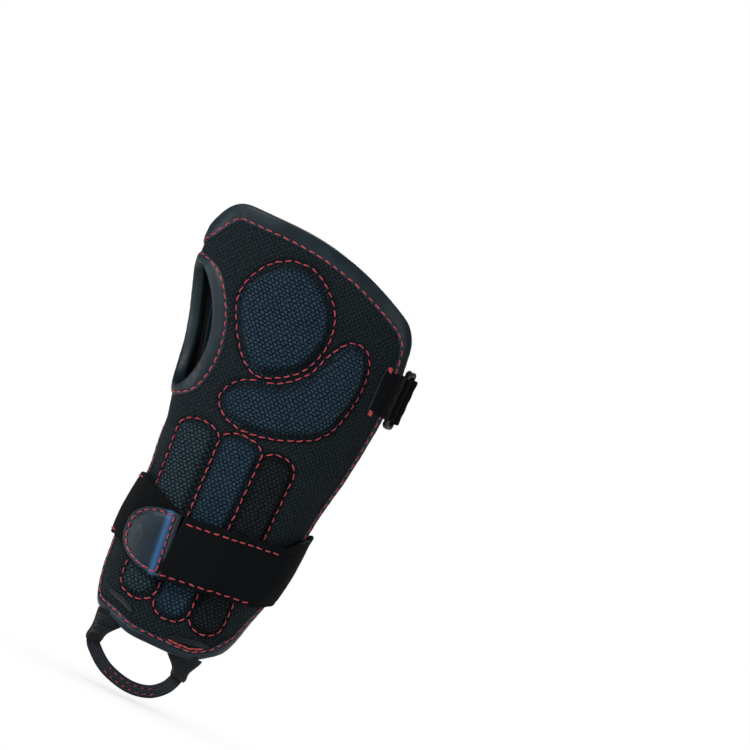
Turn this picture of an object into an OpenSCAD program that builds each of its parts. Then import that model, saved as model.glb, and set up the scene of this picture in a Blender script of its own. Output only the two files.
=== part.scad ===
// Slip-on wrist guard for the left hand.
// Origin: centre of the wrist. +Z points to the fingers, +X to the little finger, and the palm faces -Y.
// Every fabric layer is an offset d from one guard surface; d = 0 is the outer face of the palm cover.

/* [Palm panel layers] */
// Thickness of the outer mesh cover
cover_t = 0.8; // [0.5:0.1:1.2]
// Thickness of the foam behind the cover
foam_t = 2.2; // [1.5:0.1:2.4]
// Thickness of the brushed lining against the skin
lining_t = 0.8; // [0.5:0.1:1]
// Thickness of the stretch panel over the back of the hand
back_t = 1.6; // [1:0.1:2]
// Gap left between two layers
gap = 0.1; // [0.1:0.01:0.12]

/* [Edges] */
// Width of the leather binding on the top edge
top_binding_w = 6.7; // [4:0.1:7.5]
// Width of the leather binding on the sides and the forearm edge
side_binding_w = 3.8; // [3:0.1:4.5]
// Width of the leather binding on the palm side of the thumb hole
hole_binding_w = 6.2; // [4:0.1:6.4]
// Thickness of the leather binding
binding_t = 0.8; // [0.5:0.1:1]
// Radius of the panel's corners
corner_r = 11; // [9:0.5:12]

/* [Thumb hole] */
// Height of the hole's centre above the wrist
hole_z = 49.5; // [47:0.5:51]
// Half of the hole's height
hole_half_z = 28.5; // [25:0.5:29]

/* [Pads and plates] */
// Thickness of the two rubber pads
pad_t = 3; // [2:0.1:4]
// Width of the three stiffening plates
plate_w = 10; // [8:0.5:11]
// Thickness of the plates
plate_t = 1.5; // [1:0.1:1.6]
// Lowest end of the plates
plate_low = -70; // [-72:1:-60]
// Highest end of the plates
plate_high = 8; // [0:1:9]
// Thickness of the mesh over the pads and plates
pocket_t = 0.7; // [0.5:0.1:0.8]

/* [Straps] */
// Width of the wrist strap
wrist_strap_w = 31; // [26:0.5:32]
// Thickness of both straps
strap_t = 1.8; // [1.4:0.1:2]
// Width of the hand strap
hand_strap_w = 22; // [18:0.5:23]
// Thickness of the hook patches
hook_t = 0.9; // [0.6:0.1:1]
// Height of the hand strap's centre
hand_strap_z = 58; // [56:1:60]

/* [Ring and pull loop] */
// Length of the ring along the edge of the hand
ring_len = 29; // [27:0.5:31]
// Distance between the ring's two long bars
ring_reach = 7; // [6.5:0.1:8]
// Radius of the ring's bar
ring_r = 1.3; // [1:0.1:1.4]
// Width of the pull loop's webbing
loop_w = 6; // [5:0.5:7]
// Thickness of the pull loop's webbing
loop_t = 2.6; // [2:0.1:3]

/* [Hidden] */

// Squareness of the guard's section: 2 is an ellipse
roundness = 2.4;
// Sections of the guard: height, thumb-side edge, little-finger-side edge, half depth
SECTIONS = [
  [-90, -34, 23, 25.5],
  [-78, -37.5, 26.5, 25.5],
  [-66, -40, 29.5, 25.3],
  [-42, -41.5, 35.5, 24.8],
  [-19, -40, 37, 24],
  [-4, -41.5, 38.8, 23.6],
  [15, -45, 42.3, 23.4],
  [43, -53, 45.5, 22.5],
  [60, -57.5, 46, 21],
  [78, -60.5, 44.5, 19.5],
  [95, -61.5, 42, 18.5],
  [110, -61, 40, 18]
];

// Angles round the section: 180 is the thumb side, 270 the palm, 360 the little-finger side, 450 the back
ulnar_seam = 352;
// Inner faces of the layers, as offsets from the guard surface
foam_out = -cover_t - gap;
foam_in = foam_out - foam_t;
lining_out = foam_in - gap;
lining_in = lining_out - lining_t;
back_in = lining_in;
back_out = back_in + back_t;
// Clearance between layers whose facets don't line up
fit = 0.25;
// Room that a pad cover leaves over its rubber, whose facets are large
pad_room = 0.6;
// Rise of a pocket over its plate and of a pad cover over its pad
plate_rise = fit + plate_t + fit;
pad_rise = fit + pad_t + pad_room;

// ---- Curves -----------------------------------------------------------------------------------

function clamp01(f) = min(1, max(0, f));
function mix(a, b, f) = a + (b - a) * f;
function ease(f) = let (c = clamp01(f)) c * c * (3 - 2 * c);
// Eased change from a to b while x goes from x0 to x1
function ramp(x, x0, x1, a, b) = mix(a, b, ease((x - x0) / (x1 - x0)));
// Row of table T that z falls in
function row_at(T, z, i = 0) = i >= len(T) - 2 || z < T[i + 1][0] ? i : row_at(T, z, i + 1);
// Smooth value of column c of table T at z
function column(T, z, c) =
  let (
    i = row_at(T, z),
    a = T[max(0, i - 1)], p = T[i], q = T[i + 1], b = T[min(len(T) - 1, i + 2)],
    h = q[0] - p[0],
    f = (z - p[0]) / h,
    m0 = (q[c] - a[c]) / (q[0] - a[0]) * h,
    m1 = (b[c] - p[c]) / (b[0] - p[0]) * h
  )
  (2 * f^3 - 3 * f^2 + 1) * p[c] + (f^3 - 2 * f^2 + f) * m0 + (3 * f^2 - 2 * f^3) * q[c] + (f^3 - f^2) * m1;

// Point at angle t and height z, d outside the guard surface
function skin(t, z, d) =
  let (
    left = column(SECTIONS, z, 1), right = column(SECTIONS, z, 2), depth = column(SECTIONS, z, 3),
    c = cos(t), s = sin(t), p = 2 / roundness
  )
  [
    (left + right) / 2 + ((right - left) / 2 + d) * sign(c) * pow(abs(c), p),
    (depth + d) * sign(s) * pow(abs(s), p),
    z
  ];
// Angle on the palm face at which the surface d outside the guard surface stands at x
function palm_angle(x, z, d = 0) =
  let (
    left = column(SECTIONS, z, 1), right = column(SECTIONS, z, 2),
    f = max(-0.999, min(0.999, (2 * x - left - right) / (right - left + 2 * d)))
  )
  270 + asin(sign(f) * pow(abs(f), roundness / 2));
// Arc length of one degree of section
function per_degree(t, z) = norm(skin(t + 1, z, 0) - skin(t - 1, z, 0)) / 2;
// [angle, height] moved by ds along the section and dz up
function slide_on(p, ds, dz) = [p[0] + ds / per_degree(p[0], p[1]), p[1] + dz];

// ---- Edges of the palm panel --------------------------------------------------------------------

// Seam between the palm panel and the back panel on the thumb side
function thumb_seam(z) = ramp(z, -18, 26, 183, 140);
// Height of the edge at the fingers and of the forearm edge, before the corners are rounded
function top_line(t) =
  let (x = skin(t, 95, 0)[0])
  108.7 - 17 * ease((222 - t) / 44) - 28 * pow(clamp01((x + 28) / 80), 2.2);
function low_line(t) =
  let (x = skin(t, -80, 0)[0])
  -88 + ramp(x, -16, -36, 0, 5) + ramp(x, 12, 27, 0, 8);
// Share of a corner's rise at distance s from the seam
function corner(s) = s >= corner_r ? 0 : corner_r - sqrt(corner_r^2 - (corner_r - max(s, 0))^2);
function corner_rise(t, z) =
  corner((t - thumb_seam(z)) * per_degree(t, z)) + corner((ulnar_seam - t) * per_degree(t, z));
function panel_top(t) = top_line(t) - corner_rise(t, 88);
function panel_low(t) = low_line(t) + corner_rise(t, -76);

// ---- Palm panel grid ----------------------------------------------------------------------------

// The thumb hole: centre angle and half angle, and how far round its oval the flat ends reach
hole_t = 194;
hole_half_t = 35;
hole_end = 20;
low_rows = 20;
hole_rows = 12;
top_rows = 4;
strip_cols = 6;
hole_cols = 3;
palm_cols = 17;
last_row = low_rows + hole_rows + top_rows;
last_col = strip_cols + hole_cols + palm_cols;
// Angle round the hole's oval at grid row j
function hole_turn(j) =
  mix(hole_end, 180 - hole_end, clamp01((j - low_rows) / hole_rows));
function hole_reach(j) = hole_half_t * sin(hole_turn(j));
function hole_height(k) = hole_z - hole_half_z * cos(mix(hole_end, 180 - hole_end, k / hole_rows));
// Height of grid row j at angle t: below, beside and above the hole
function row_z(j, t) =
  let (
    k = j - low_rows,
    side = ease((t - 250) / 90),
    top = panel_top(t),
    beside = hole_height(min(hole_rows, max(0, k))),
    low_stop = hole_height(0),
    high_stop = hole_height(hole_rows),
    squeezed = mix(low_stop, mix(high_stop, min(high_stop, top - 12), side),
      (beside - low_stop) / (high_stop - low_stop))
  )
  k < 0 ? mix(panel_low(t), low_stop, j / low_rows)
    : k <= hole_rows ? squeezed
    : mix(mix(high_stop, min(high_stop, top - 12), side), top, (k - hole_rows) / top_rows);
// Angle of grid column i in row j
function col_t(i, j) =
  let (
    seam = thumb_seam(row_z(j, 176)),
    gather = ease(j / low_rows),
    a = mix(seam + 16, hole_t - hole_reach(j), gather),
    b = mix(seam + 30, hole_t + hole_reach(j), gather)
  )
  i <= strip_cols ? mix(seam, a, i / strip_cols)
    : i <= strip_cols + hole_cols ? mix(a, b, (i - strip_cols) / hole_cols)
    : mix(b, ulnar_seam, (i - strip_cols - hole_cols) / palm_cols);
function palm_grid(d) =
  [for (j = [0:last_row]) [for (i = [0:last_col]) let (t = col_t(i, j)) skin(t, row_z(j, t), d)]];
in_hole = function(i, j)
  i >= strip_cols && i < strip_cols + hole_cols && j >= low_rows && j < low_rows + hole_rows;

// ---- Solids from grids --------------------------------------------------------------------------

// Each four-sided face as two triangles
function halves(quads) = [for (q = quads) each [[q[0], q[1], q[2]], [q[0], q[2], q[3]]]];

// Closed sheet between the grids low and high, both [row][column], without the cells where open(i, j) is true
module sheet(low, high, open = function(i, j) false, wrap = false) {
  rows = len(low);
  cols = len(low[0]);
  cells = wrap ? cols : cols - 1;
  at = function(j, i, side) side * rows * cols + j * cols + i % cols;
  solid = function(i, j)
    j >= 0 && j < rows - 1 && (wrap || (i >= 0 && i < cells)) && !open((i + cols) % cols, j);
  quads = [
    for (j = [0:rows - 2], i = [0:cells - 1])
      if (solid(i, j))
        each [
          [at(j, i, 1), at(j + 1, i, 1), at(j + 1, i + 1, 1), at(j, i + 1, 1)],
          [at(j, i, 0), at(j, i + 1, 0), at(j + 1, i + 1, 0), at(j + 1, i, 0)],
          if (!solid(i, j - 1)) [at(j, i, 0), at(j, i, 1), at(j, i + 1, 1), at(j, i + 1, 0)],
          if (!solid(i, j + 1)) [at(j + 1, i + 1, 0), at(j + 1, i + 1, 1), at(j + 1, i, 1), at(j + 1, i, 0)],
          if (!solid(i - 1, j)) [at(j + 1, i, 0), at(j + 1, i, 1), at(j, i, 1), at(j, i, 0)],
          if (!solid(i + 1, j)) [at(j, i + 1, 0), at(j, i + 1, 1), at(j + 1, i + 1, 1), at(j + 1, i + 1, 0)]
        ]
  ];
  polyhedron([for (r = low) each r, for (r = high) each r], halves(quads), convexity = 10);
}

// Closed ring swept from profiles, rings[station][corner]
module swept_ring(rings) {
  n = len(rings);
  m = len(rings[0]);
  quads = [
    for (j = [0:n - 1], i = [0:m - 1])
      let (a = j * m, b = (j + 1) % n * m, k = (i + 1) % m)
      [a + i, b + i, b + k, a + k]
  ];
  polyhedron([for (r = rings) each r], halves(quads), convexity = 10);
}

// Pad or pad cover on the palm: rings of an edge about a centre, each ring [scale, inner d, outer d]
module palm_disc(edge, centre, rings) {
  n = len(edge);
  m = len(rings);
  spot = function(p, f, d)
    let (x = mix(centre[0], p[0], f), z = mix(centre[1], p[1], f)) skin(palm_angle(x, z), z, d);
  points = [
    for (side = [1, 2]) each [for (r = rings) each [for (p = edge) spot(p, r[0], r[side])]],
    spot(centre, 0, rings[m - 1][1]),
    spot(centre, 0, rings[m - 1][2])
  ];
  at = function(j, i, side) side * m * n + j * n + i % n;
  quads = [
    for (j = [0:m - 2], i = [0:n - 1])
      each [
        [at(j, i, 1), at(j + 1, i, 1), at(j + 1, i + 1, 1), at(j, i + 1, 1)],
        [at(j, i, 0), at(j, i + 1, 0), at(j + 1, i + 1, 0), at(j + 1, i, 0)]
      ],
    for (i = [0:n - 1]) [at(0, i, 0), at(0, i, 1), at(0, i + 1, 1), at(0, i + 1, 0)]
  ];
  middles = [
    for (i = [0:n - 1])
      each [
        [at(m - 1, i, 0), at(m - 1, i + 1, 0), 2 * m * n],
        [at(m - 1, i + 1, 1), at(m - 1, i, 1), 2 * m * n + 1]
      ]
  ];
  polyhedron(points, concat(halves(quads), middles), convexity = 10);
}

// Strap laid round the section: stations of [angle, centre height, half width, inner d, outer d]
module strap(stations, cols = 3) {
  function cut(side) =
    [for (j = [0:cols]) [for (s = stations) skin(s[0], s[1] + mix(-s[2], s[2], j / cols), s[side])]];
  sheet(cut(3), cut(4));
}

// ---- Palm panel ---------------------------------------------------------------------------------

module palm_cover() {
  color([0.07, 0.11, 0.14]) sheet(palm_grid(-cover_t), palm_grid(0), in_hole);
}
module palm_foam() {
  color([0.35, 0.36, 0.38]) sheet(palm_grid(foam_in), palm_grid(foam_out), in_hole);
}
module palm_lining() {
  color([0.1, 0.1, 0.11]) sheet(palm_grid(lining_in), palm_grid(lining_out), in_hole);
}

// ---- Back panel ---------------------------------------------------------------------------------

// Gap between the panel's cut edge and the binding's lip, and the space the lip takes at each seam
lip_gap = 1;
seam_room = lip_gap + binding_t + fit;
back_cols = 18;
back_rows = 20;
tape_w = 7;
tape_t = 0.7;
// Angle at share f of the way round the back, from the little-finger seam to the thumb seam.
// The thumb seam slants at the thumb's root
function back_t_at(f, z) =
  let (
    slant = (thumb_seam(z + 1) - thumb_seam(z - 1)) / 2 * per_degree(thumb_seam(z), z),
    a = slide_on([ulnar_seam, z], seam_room, 0)[0],
    b = slide_on([360 + thumb_seam(z), z], -seam_room * norm([1, slant]), 0)[0]
  )
  mix(a, b, f);
// Heights of the panel's two rims, and of the inner sides of the tapes on them
low_rim = function(f) mix(-66, -69, f) - 9 * sin(180 * f);
top_rim = function(f) mix(69, 83, f) + 6 * sin(180 * f);
low_tape_end = function(f) low_rim(f) + tape_w;
top_tape_end = function(f) top_rim(f) - tape_w;
function back_grid(d, from, to, rows) =
  [for (j = [0:rows]) [for (i = [0:back_cols])
    let (f = i / back_cols, z = mix(from(f), to(f), j / rows)) skin(back_t_at(f, z), z, d)]];

module back_panel() {
  color([0.06, 0.06, 0.07])
    sheet(back_grid(back_in, low_rim, top_rim, back_rows), back_grid(back_out, low_rim, top_rim, back_rows));
}
module back_tape(from, to) {
  d = back_out + fit;
  color([0.05, 0.05, 0.06]) sheet(back_grid(d, from, to, 1), back_grid(d + tape_t, from, to, 1));
}
module back_top_tape() back_tape(top_tape_end, top_rim);
module back_forearm_tape() back_tape(low_rim, low_tape_end);

// ---- Leather bindings ---------------------------------------------------------------------------

corner_turns = [0:22.5:90];
edge_steps = 32;
seam_steps = 48;
// Angles along an edge, close together where the corners turn
function edge_angles(seam, z) =
  let (first = slide_on([seam, z], corner_r, 0)[0], last = slide_on([ulnar_seam, z], -corner_r, 0)[0])
  [
    for (a = corner_turns) slide_on([seam, z], corner_r * (1 - cos(a)), 0)[0],
    for (k = [1:edge_steps - 1]) mix(first, last, k / edge_steps),
    for (a = corner_turns) slide_on([ulnar_seam, z], -corner_r * (1 - sin(a)), 0)[0]
  ];
// Points [angle, height] round the panel, in order: forearm edge, little-finger seam, top edge, thumb seam
low_edge = [for (t = edge_angles(thumb_seam(-76), -76)) [t, panel_low(t)]];
top_edge = [for (t = edge_angles(thumb_seam(88), 88)) [t, panel_top(t)]];
function seam_points(a, b, seam) =
  [for (k = [1:seam_steps - 1]) let (z = mix(a, b, k / seam_steps)) [seam(z), z]];
panel_loop = [
  each low_edge,
  each seam_points(low_edge[len(low_edge) - 1][1], top_edge[len(top_edge) - 1][1], function(z) ulnar_seam),
  for (k = [len(top_edge) - 1:-1:0]) top_edge[k],
  each seam_points(top_edge[0][1], low_edge[0][1], function(z) thumb_seam(z))
];
// Oval of the thumb hole, in the same order; its flat ends have the points of the panel's grid
function hole_side(j, way) = let (t = hole_t + way * hole_reach(j)) [t, row_z(j, t)];
function hole_end_points(j, way) =
  [for (i = [1:hole_cols - 1])
    let (t = hole_t + way * hole_reach(j) * (1 - 2 * i / hole_cols)) [t, row_z(j, t)]];
hole_ring = [
  for (k = [0:hole_rows]) hole_side(low_rows + k, 1),
  each hole_end_points(low_rows + hole_rows, 1),
  for (k = [hole_rows:-1:0]) hole_side(low_rows + k, -1),
  each hole_end_points(low_rows, -1)
];
// Unit vector [along the section, up] that points to the right of the loop's direction at station k
function outward(loop, k) =
  let (
    n = len(loop), a = loop[(k + n - 1) % n], b = loop[(k + 1) % n],
    ds = (b[0] - a[0]) * per_degree(loop[k][0], loop[k][1]), dz = b[1] - a[1], l = norm([ds, dz])
  )
  [dz / l, -ds / l];
// L-shaped binding: a flange on the cover and a lip over the cut edge; side is -1 round a hole
module binding(loop, side, width) {
  lip = lip_gap;
  low = fit + 0.1;
  high = fit + binding_t;
  // Straight across the curved cover, so it stands off a little more towards the edge
  rim_low = low + 0.3;
  rings = [
    for (k = [0:len(loop) - 1])
      let (
        o = outward(loop, k) * side,
        w = width(loop[k]),
        corners = [
          [-w, low], [-w / 2, low + 0.1], [lip, rim_low], [lip, lining_in],
          [lip + binding_t, lining_in], [lip + binding_t, high], [-w / 2, high], [-w, high]
        ],
        ordered = side > 0 ? corners : [for (i = [len(corners) - 1:-1:0]) corners[i]]
      )
      [for (c = ordered) let (q = slide_on(loop[k], o[0] * c[0], o[1] * c[0])) skin(q[0], q[1], c[1])]
  ];
  color([0.16, 0.26, 0.31]) swept_ring(rings);
}
module palm_edge_binding() {
  // The band is wide along the fingers and at the forearm's corner on the little-finger side
  wide = function(p)
    p[1] < 0 ? ease((p[0] - 322) / 18) * ease((-52 - p[1]) / 14)
      : p[0] < 230 ? ease((p[0] - 150) / 30) * ease((p[1] - 70) / 14)
      : ease((p[1] - 35) / 37);
  width = function(p) mix(side_binding_w, top_binding_w, wide(p));
  binding(panel_loop, 1, width);
}
module thumb_hole_binding() {
  // Widest on the palm side of the hole
  width = function(p) ramp(p[0], hole_t + 5, hole_t + 25, side_binding_w - 0.3, hole_binding_w);
  binding(hole_ring, -1, width);
}

// ---- Rubber pads and their covers ---------------------------------------------------------------

pad_steps = 36;
upper_centre = [-13.5, 68];
upper_lean = 14;
lower_centre = [13, 36];
// Seam of the upper pad, from the thumb side over the fingers' side
UPPER_SEAM = [
  [-36, 68], [-34, 82.5], [-24, 93.3], [-9.5, 94.8], [4.5, 84],
  [9.5, 69], [5.5, 53.5], [-3.5, 44.8], [-15, 41], [-26, 49.5]
];
// Seam of the lower pad: tip at the thumb, inner curve, upper lobe, outer curve
LOWER_SEAM = [
  [-25, 25.5], [-21.5, 34], [-15, 38.3], [-3, 42], [7.3, 51.5], [12.5, 64], [19, 72.3],
  [27.5, 71], [31.6, 60], [30.5, 43], [24.5, 28], [9, 19.3], [-7, 15.8], [-18.5, 18]
];
// Outline of the lower rubber pad, clear of the seam
LOWER_RUBBER = [
  [-18, 26], [-12, 32], [1, 36.5], [13, 47.5], [18.5, 60], [23.5, 65.5],
  [26, 58], [25, 45], [19.5, 33], [8, 25], [-6, 21.5], [-14, 22.5]
];
// Smooth closed curve through the points of L, at share f of the way round
function round_curve(L, f) =
  let (
    n = len(L), g = f * n, k = floor(g), u = g - k,
    a = L[(k + n - 1) % n], p = L[k % n], q = L[(k + 1) % n], b = L[(k + 2) % n],
    m0 = (q - a) / 2, m1 = (b - p) / 2
  )
  (2 * u^3 - 3 * u^2 + 1) * p + (u^3 - 2 * u^2 + u) * m0 + (3 * u^2 - 2 * u^3) * q + (u^3 - u^2) * m1;
function turned(p, a) = [p[0] * cos(a) - p[1] * sin(a), p[0] * sin(a) + p[1] * cos(a)];
function outline(L) = [for (k = [pad_steps - 1:-1:0]) round_curve(L, k / pad_steps)];
// Waisted outline of the upper rubber pad
waist_r = 15.6;
upper_rubber = [for (k = [0:pad_steps - 1])
  let (a = 360 * k / pad_steps, r = waist_r * (1 - 0.18 * cos(2 * a) - 0.08 * cos(4 * a)))
  upper_centre + turned([r * cos(a), r * sin(a)], upper_lean)];
// Shares of the seam's outline where the cover lies flat and where it has risen over the pad
flat_share = 0.88;
risen_share = 0.85;

module rubber_pad(edge, centre) {
  color([0.9, 0.5, 0.1])
    palm_disc(edge, centre, [
      [0.95, fit, fit + 0.6 * pad_t],
      [0.89, fit, fit + pad_t],
      [0.5, fit, fit + pad_t]
    ]);
}
module pad_cover(edge, centre) {
  color([0.13, 0.2, 0.27])
    palm_disc(edge, centre, [
      [0.97, fit, fit + pocket_t],
      [flat_share, fit, fit + pocket_t],
      [risen_share, pad_rise, pad_rise + pocket_t],
      [0.4, pad_rise, pad_rise + pocket_t]
    ]);
}
module upper_rubber_pad() rubber_pad(upper_rubber, upper_centre);
module lower_rubber_pad() rubber_pad(outline(LOWER_RUBBER), lower_centre);
module upper_pad_cover() pad_cover(outline(UPPER_SEAM), upper_centre);
module lower_pad_cover() pad_cover(outline(LOWER_SEAM), lower_centre);

// ---- Stiffening plates and their pockets --------------------------------------------------------

// Seam lines between the three pockets, from thumb side to little-finger side: x at the top and at the bottom
POCKET_SEAMS = [[-37, -30], [-17, -13], [3.8, 4], [20.5, 20]];
// Lowest point of each pocket's seam, and the highest point of all three
POCKET_LOWS = [-73, -76, -75.5];
pocket_high = 14;
pocket_foot = -76;
function pocket_seam(k, z) =
  mix(POCKET_SEAMS[k][1], POCKET_SEAMS[k][0], clamp01((z - pocket_foot) / (pocket_high - pocket_foot)));
function pocket_mid(k, z) = (pocket_seam(k, z) + pocket_seam(k + 1, z)) / 2;
function pocket_half(k, z) = (pocket_seam(k + 1, z) - pocket_seam(k, z)) / 2 - 0.2;
function on_palm(x, z, d) = skin(palm_angle(x, z), z, d);

module plate(k) {
  steps = 8;
  end_r = 3;
  rows = [
    [plate_low, plate_w / 2 - end_r],
    [plate_low + end_r, plate_w / 2],
    for (j = [1:steps - 1]) [mix(plate_low + end_r, plate_high - end_r, j / steps), plate_w / 2],
    [plate_high - end_r, plate_w / 2],
    [plate_high, plate_w / 2 - end_r]
  ];
  function face(d) =
    [for (r = rows) [for (i = [-1:0.5:1]) on_palm(pocket_mid(k, r[0]) + i * r[1], r[0], d)]];
  color([0.75, 0.1, 0.12]) sheet(face(fit), face(fit + plate_t));
}
module plate_pocket(k) {
  rise = [
    [POCKET_LOWS[k], 0.6, 0], [plate_low - 1.8, 0.92, 0], [plate_low - 0.8, 1, 1],
    for (j = [1:8]) [mix(plate_low, plate_high, j / 9), 1, 1],
    [plate_high + 0.8, 1, 1], [pocket_high - 3, 0.92, 0], [pocket_high, 0.6, 0]
  ];
  inner_half = plate_w / 2 + 0.6;
  function half_at(r) = pocket_half(k, r[0]) * r[1];
  function across(r) = let (h = half_at(r), a = min(inner_half, h - 1.2))
    [[-h, 0], [-a - 0.6, 0], [-a, 1], [-a / 2, 1], [0, 1], [a / 2, 1], [a, 1], [a + 0.6, 0], [h, 0]];
  function face(extra) =
    [for (r = rise) [for (c = across(r)) on_palm(pocket_mid(k, r[0]) + c[0], r[0],
      mix(fit, plate_rise, c[1] * r[2]) + extra)]];
  color([0.12, 0.24, 0.33]) sheet(face(0), face(pocket_t));
}
module radial_plate() plate(0);
module middle_plate() plate(1);
module ulnar_plate() plate(2);
module radial_plate_pocket() plate_pocket(0);
module middle_plate_pocket() plate_pocket(1);
module ulnar_plate_pocket() plate_pocket(2);

// ---- Wrist strap --------------------------------------------------------------------------------

// Offset at which the strap lies over the pockets, over the edge binding and over the back panel
over_pockets = plate_rise + pocket_t + fit;
over_binding = fit + binding_t + 0.4;
over_back = back_out + fit;
// Offset of the flap's inner face where it lies on the hook patch
layer = 0.15;
over_hook = over_pockets + strap_t + layer + hook_t + layer;
strap_root = 359;
// Half of the angle left open at the flap's hinge line
root_gap = 2.2;
strap_half = wrist_strap_w / 2;
root_half = strap_half + 4.5;
root_z = -31;
band_end_x = 3;
flap_end_x = -17;
tab_end_x = -38.5;
flap_steps = 16;
band_steps = 30;
function flap_z(x) = -45.2 + 0.125 * (max(x, -15) + 15) + ramp(x, 29, 39, 0, 7.5);
function band_palm_z(x) = flap_z(x) + max(0, flap_end_x - x) * 0.42;
function flap_d(x) =
  x < 5 ? over_hook
    : x < 26 ? ramp(x, 5, 17, over_hook, over_pockets)
    : ramp(x, 26, 35, over_pockets, over_binding);
function flap_station(t) =
  let (x = skin(t, -42, ramp(t, 260, 310, over_hook, 0))[0], d = flap_d(x))
  [t, flap_z(x), ramp(x, 30, 39, strap_half, root_half), d, d + strap_t];

module wrist_strap_flap() {
  a = palm_angle(flap_end_x, -45, over_hook);
  color([0.05, 0.05, 0.055])
    strap([for (k = [0:flap_steps]) flap_station(mix(a, strap_root - root_gap, k / flap_steps))], 4);
}
module wrist_strap_band() {
  a = strap_root + root_gap;
  b = 360 + palm_angle(band_end_x, -50);
  function station(t) =
    let (
      x = skin(t, -42, 0)[0],
      back_z = ramp(t, 360, 440, root_z, -34) + ramp(t, 450, 540, 0, -2),
      z = t > 540 ? mix(-36, band_palm_z(x), ease((t - 540) / 30)) : back_z,
      d = t < 450 ? ramp(t, 366, 400, over_binding, over_back)
        : t < 555 ? ramp(t, 500, 534, over_back, over_binding)
        : ramp(t, 555, 582, over_binding, over_pockets)
    )
    [t, z, ramp(t, 362, 400, root_half, strap_half), d, d + strap_t];
  color([0.05, 0.05, 0.055]) strap([for (k = [0:band_steps]) station(mix(a, b, k / band_steps))], 4);
}
module wrist_strap_hook() {
  a = palm_angle(flap_end_x + 1, -45, over_hook);
  b = palm_angle(band_end_x - 2, -45, over_hook);
  d = over_hook - layer - hook_t;
  color([0.1, 0.1, 0.11])
    strap([for (k = [0:6]) let (t = mix(a, b, k / 6))
      [t, flap_station(t)[1], strap_half - 3, d, d + hook_t]], 2);
}
tab_t = 1.5;
tab_steps = 7;
// 1 gives a round tip, and less gives a squarer one
tab_squareness = 0.85;
// Rounded leather tab: its half height falls along a squarish oval from root to tip. The stations run
// from the side with the smaller angle, which is the tip when tip_first is true
module round_tab(tip_first, station) {
  tip_turn = 78;
  order = tip_first ? [tab_steps:-1:0] : [0:tab_steps];
  list = [for (k = order) let (a = tip_turn * k / tab_steps)
    station(pow(sin(a) / sin(tip_turn), tab_squareness), pow(cos(a), tab_squareness))];
  color([0.14, 0.22, 0.3]) strap(list, 4);
}
module wrist_strap_tab() {
  round_tab(true, function(f, half)
    let (x = mix(flap_end_x - 0.5, tab_end_x, f), t = palm_angle(x, -45, over_hook))
    [t, flap_z(x), strap_half * half, over_hook, over_hook + tab_t]);
}

// ---- Ring and hand strap ------------------------------------------------------------------------

keeper_z = hand_strap_z;
bore_gap = 0.15;
sleeve_t = 1;
// The ring's inner bar lies beside the edge of the hand, and its outer bar leans to the back
inner_bar = skin(366, keeper_z, 2.6);
ring_lean = 72;
outer_bar = inner_bar + [ring_reach * cos(ring_lean), ring_reach * sin(ring_lean), 0];

module bar(p, from, to, r) translate([p[0], p[1], from]) cylinder(r = r, h = to - from, $fn = 64);
module sleeve(p, length, inner, outer) {
  difference() {
    bar(p, keeper_z - length / 2, keeper_z + length / 2, outer);
    bar(p, keeper_z - length / 2 - 1, keeper_z + length / 2 + 1, inner);
  }
}
// Two round bars joined by a square block at each end
module hand_ring() {
  block = 2 * ring_r + 0.3;
  low = keeper_z - ring_len / 2;
  high = keeper_z + ring_len / 2;
  color([0.04, 0.04, 0.05]) {
    for (p = [inner_bar, outer_bar]) bar(p, low + block / 2, high - block / 2, ring_r);
    for (z = [low, high - block])
      translate([inner_bar[0], inner_bar[1], z])
        rotate([0, 0, ring_lean])
          translate([-block / 2, -block / 2, 0])
            cube([ring_reach + block, block, block]);
  }
}
module ring_keeper() {
  length = hand_strap_w - 2;
  tail = [2.6, 5, length];
  color([0.05, 0.05, 0.055]) {
    difference() {
      union() {
        bar(inner_bar, keeper_z - length / 2, keeper_z + length / 2, ring_r + bore_gap + sleeve_t);
        tail_x = inner_bar[0] - ring_r - bore_gap - tail[0];
        translate([tail_x, inner_bar[1] - 1.5, keeper_z - length / 2]) cube(tail);
      }
      bar(inner_bar, keeper_z - length, keeper_z + length, ring_r + bore_gap);
    }
  }
}
module hand_strap_turn() {
  color([0.05, 0.05, 0.055])
    sleeve(outer_bar, hand_strap_w, ring_r + bore_gap, ring_r + bore_gap + strap_t);
}
hand_root = 386;
hand_end = 474;
hand_steps = 16;
hand_half = hand_strap_w / 2;
over_hand_hook = over_back + strap_t + layer + hook_t + layer;
function hand_z(t) = ramp(t, 380, 500, hand_strap_z, hand_strap_z + 5);
function lift_to_ring(t) = ramp(t, 384, 408, 4.4, 0);

// Layer of the hand strap from angle a to angle b, d outside the guard surface away from the ring
module hand_strap_layer(a, b, d) {
  color([0.05, 0.05, 0.055])
    strap([for (k = [0:hand_steps])
      let (t = mix(a, b, k / hand_steps), low = d + lift_to_ring(t))
      [t, hand_z(t), hand_half, low, low + strap_t]], 3);
}
module hand_strap_band() hand_strap_layer(hand_root, hand_end + 8, over_back);
module hand_strap_flap() hand_strap_layer(hand_root, hand_end, over_hand_hook);
module hand_strap_hook() {
  hook_root = 425;
  steps = 8;
  d = over_back + strap_t + layer;
  color([0.1, 0.1, 0.11])
    strap([for (k = [0:steps])
      let (t = mix(hook_root, hand_end - 4, k / steps)) [t, hand_z(t), hand_half - 2, d, d + hook_t]], 2);
}
module hand_strap_tab() {
  tab_end = hand_end + 26;
  round_tab(false, function(f, half)
    let (t = mix(hand_end + 1.2, tab_end, f), d = over_hand_hook + ramp(f, 0.2, 1, 0, 2.4))
    [t, hand_z(t), hand_half * half, d, d + tab_t]);
}

// ---- Pull loop ----------------------------------------------------------------------------------

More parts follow.
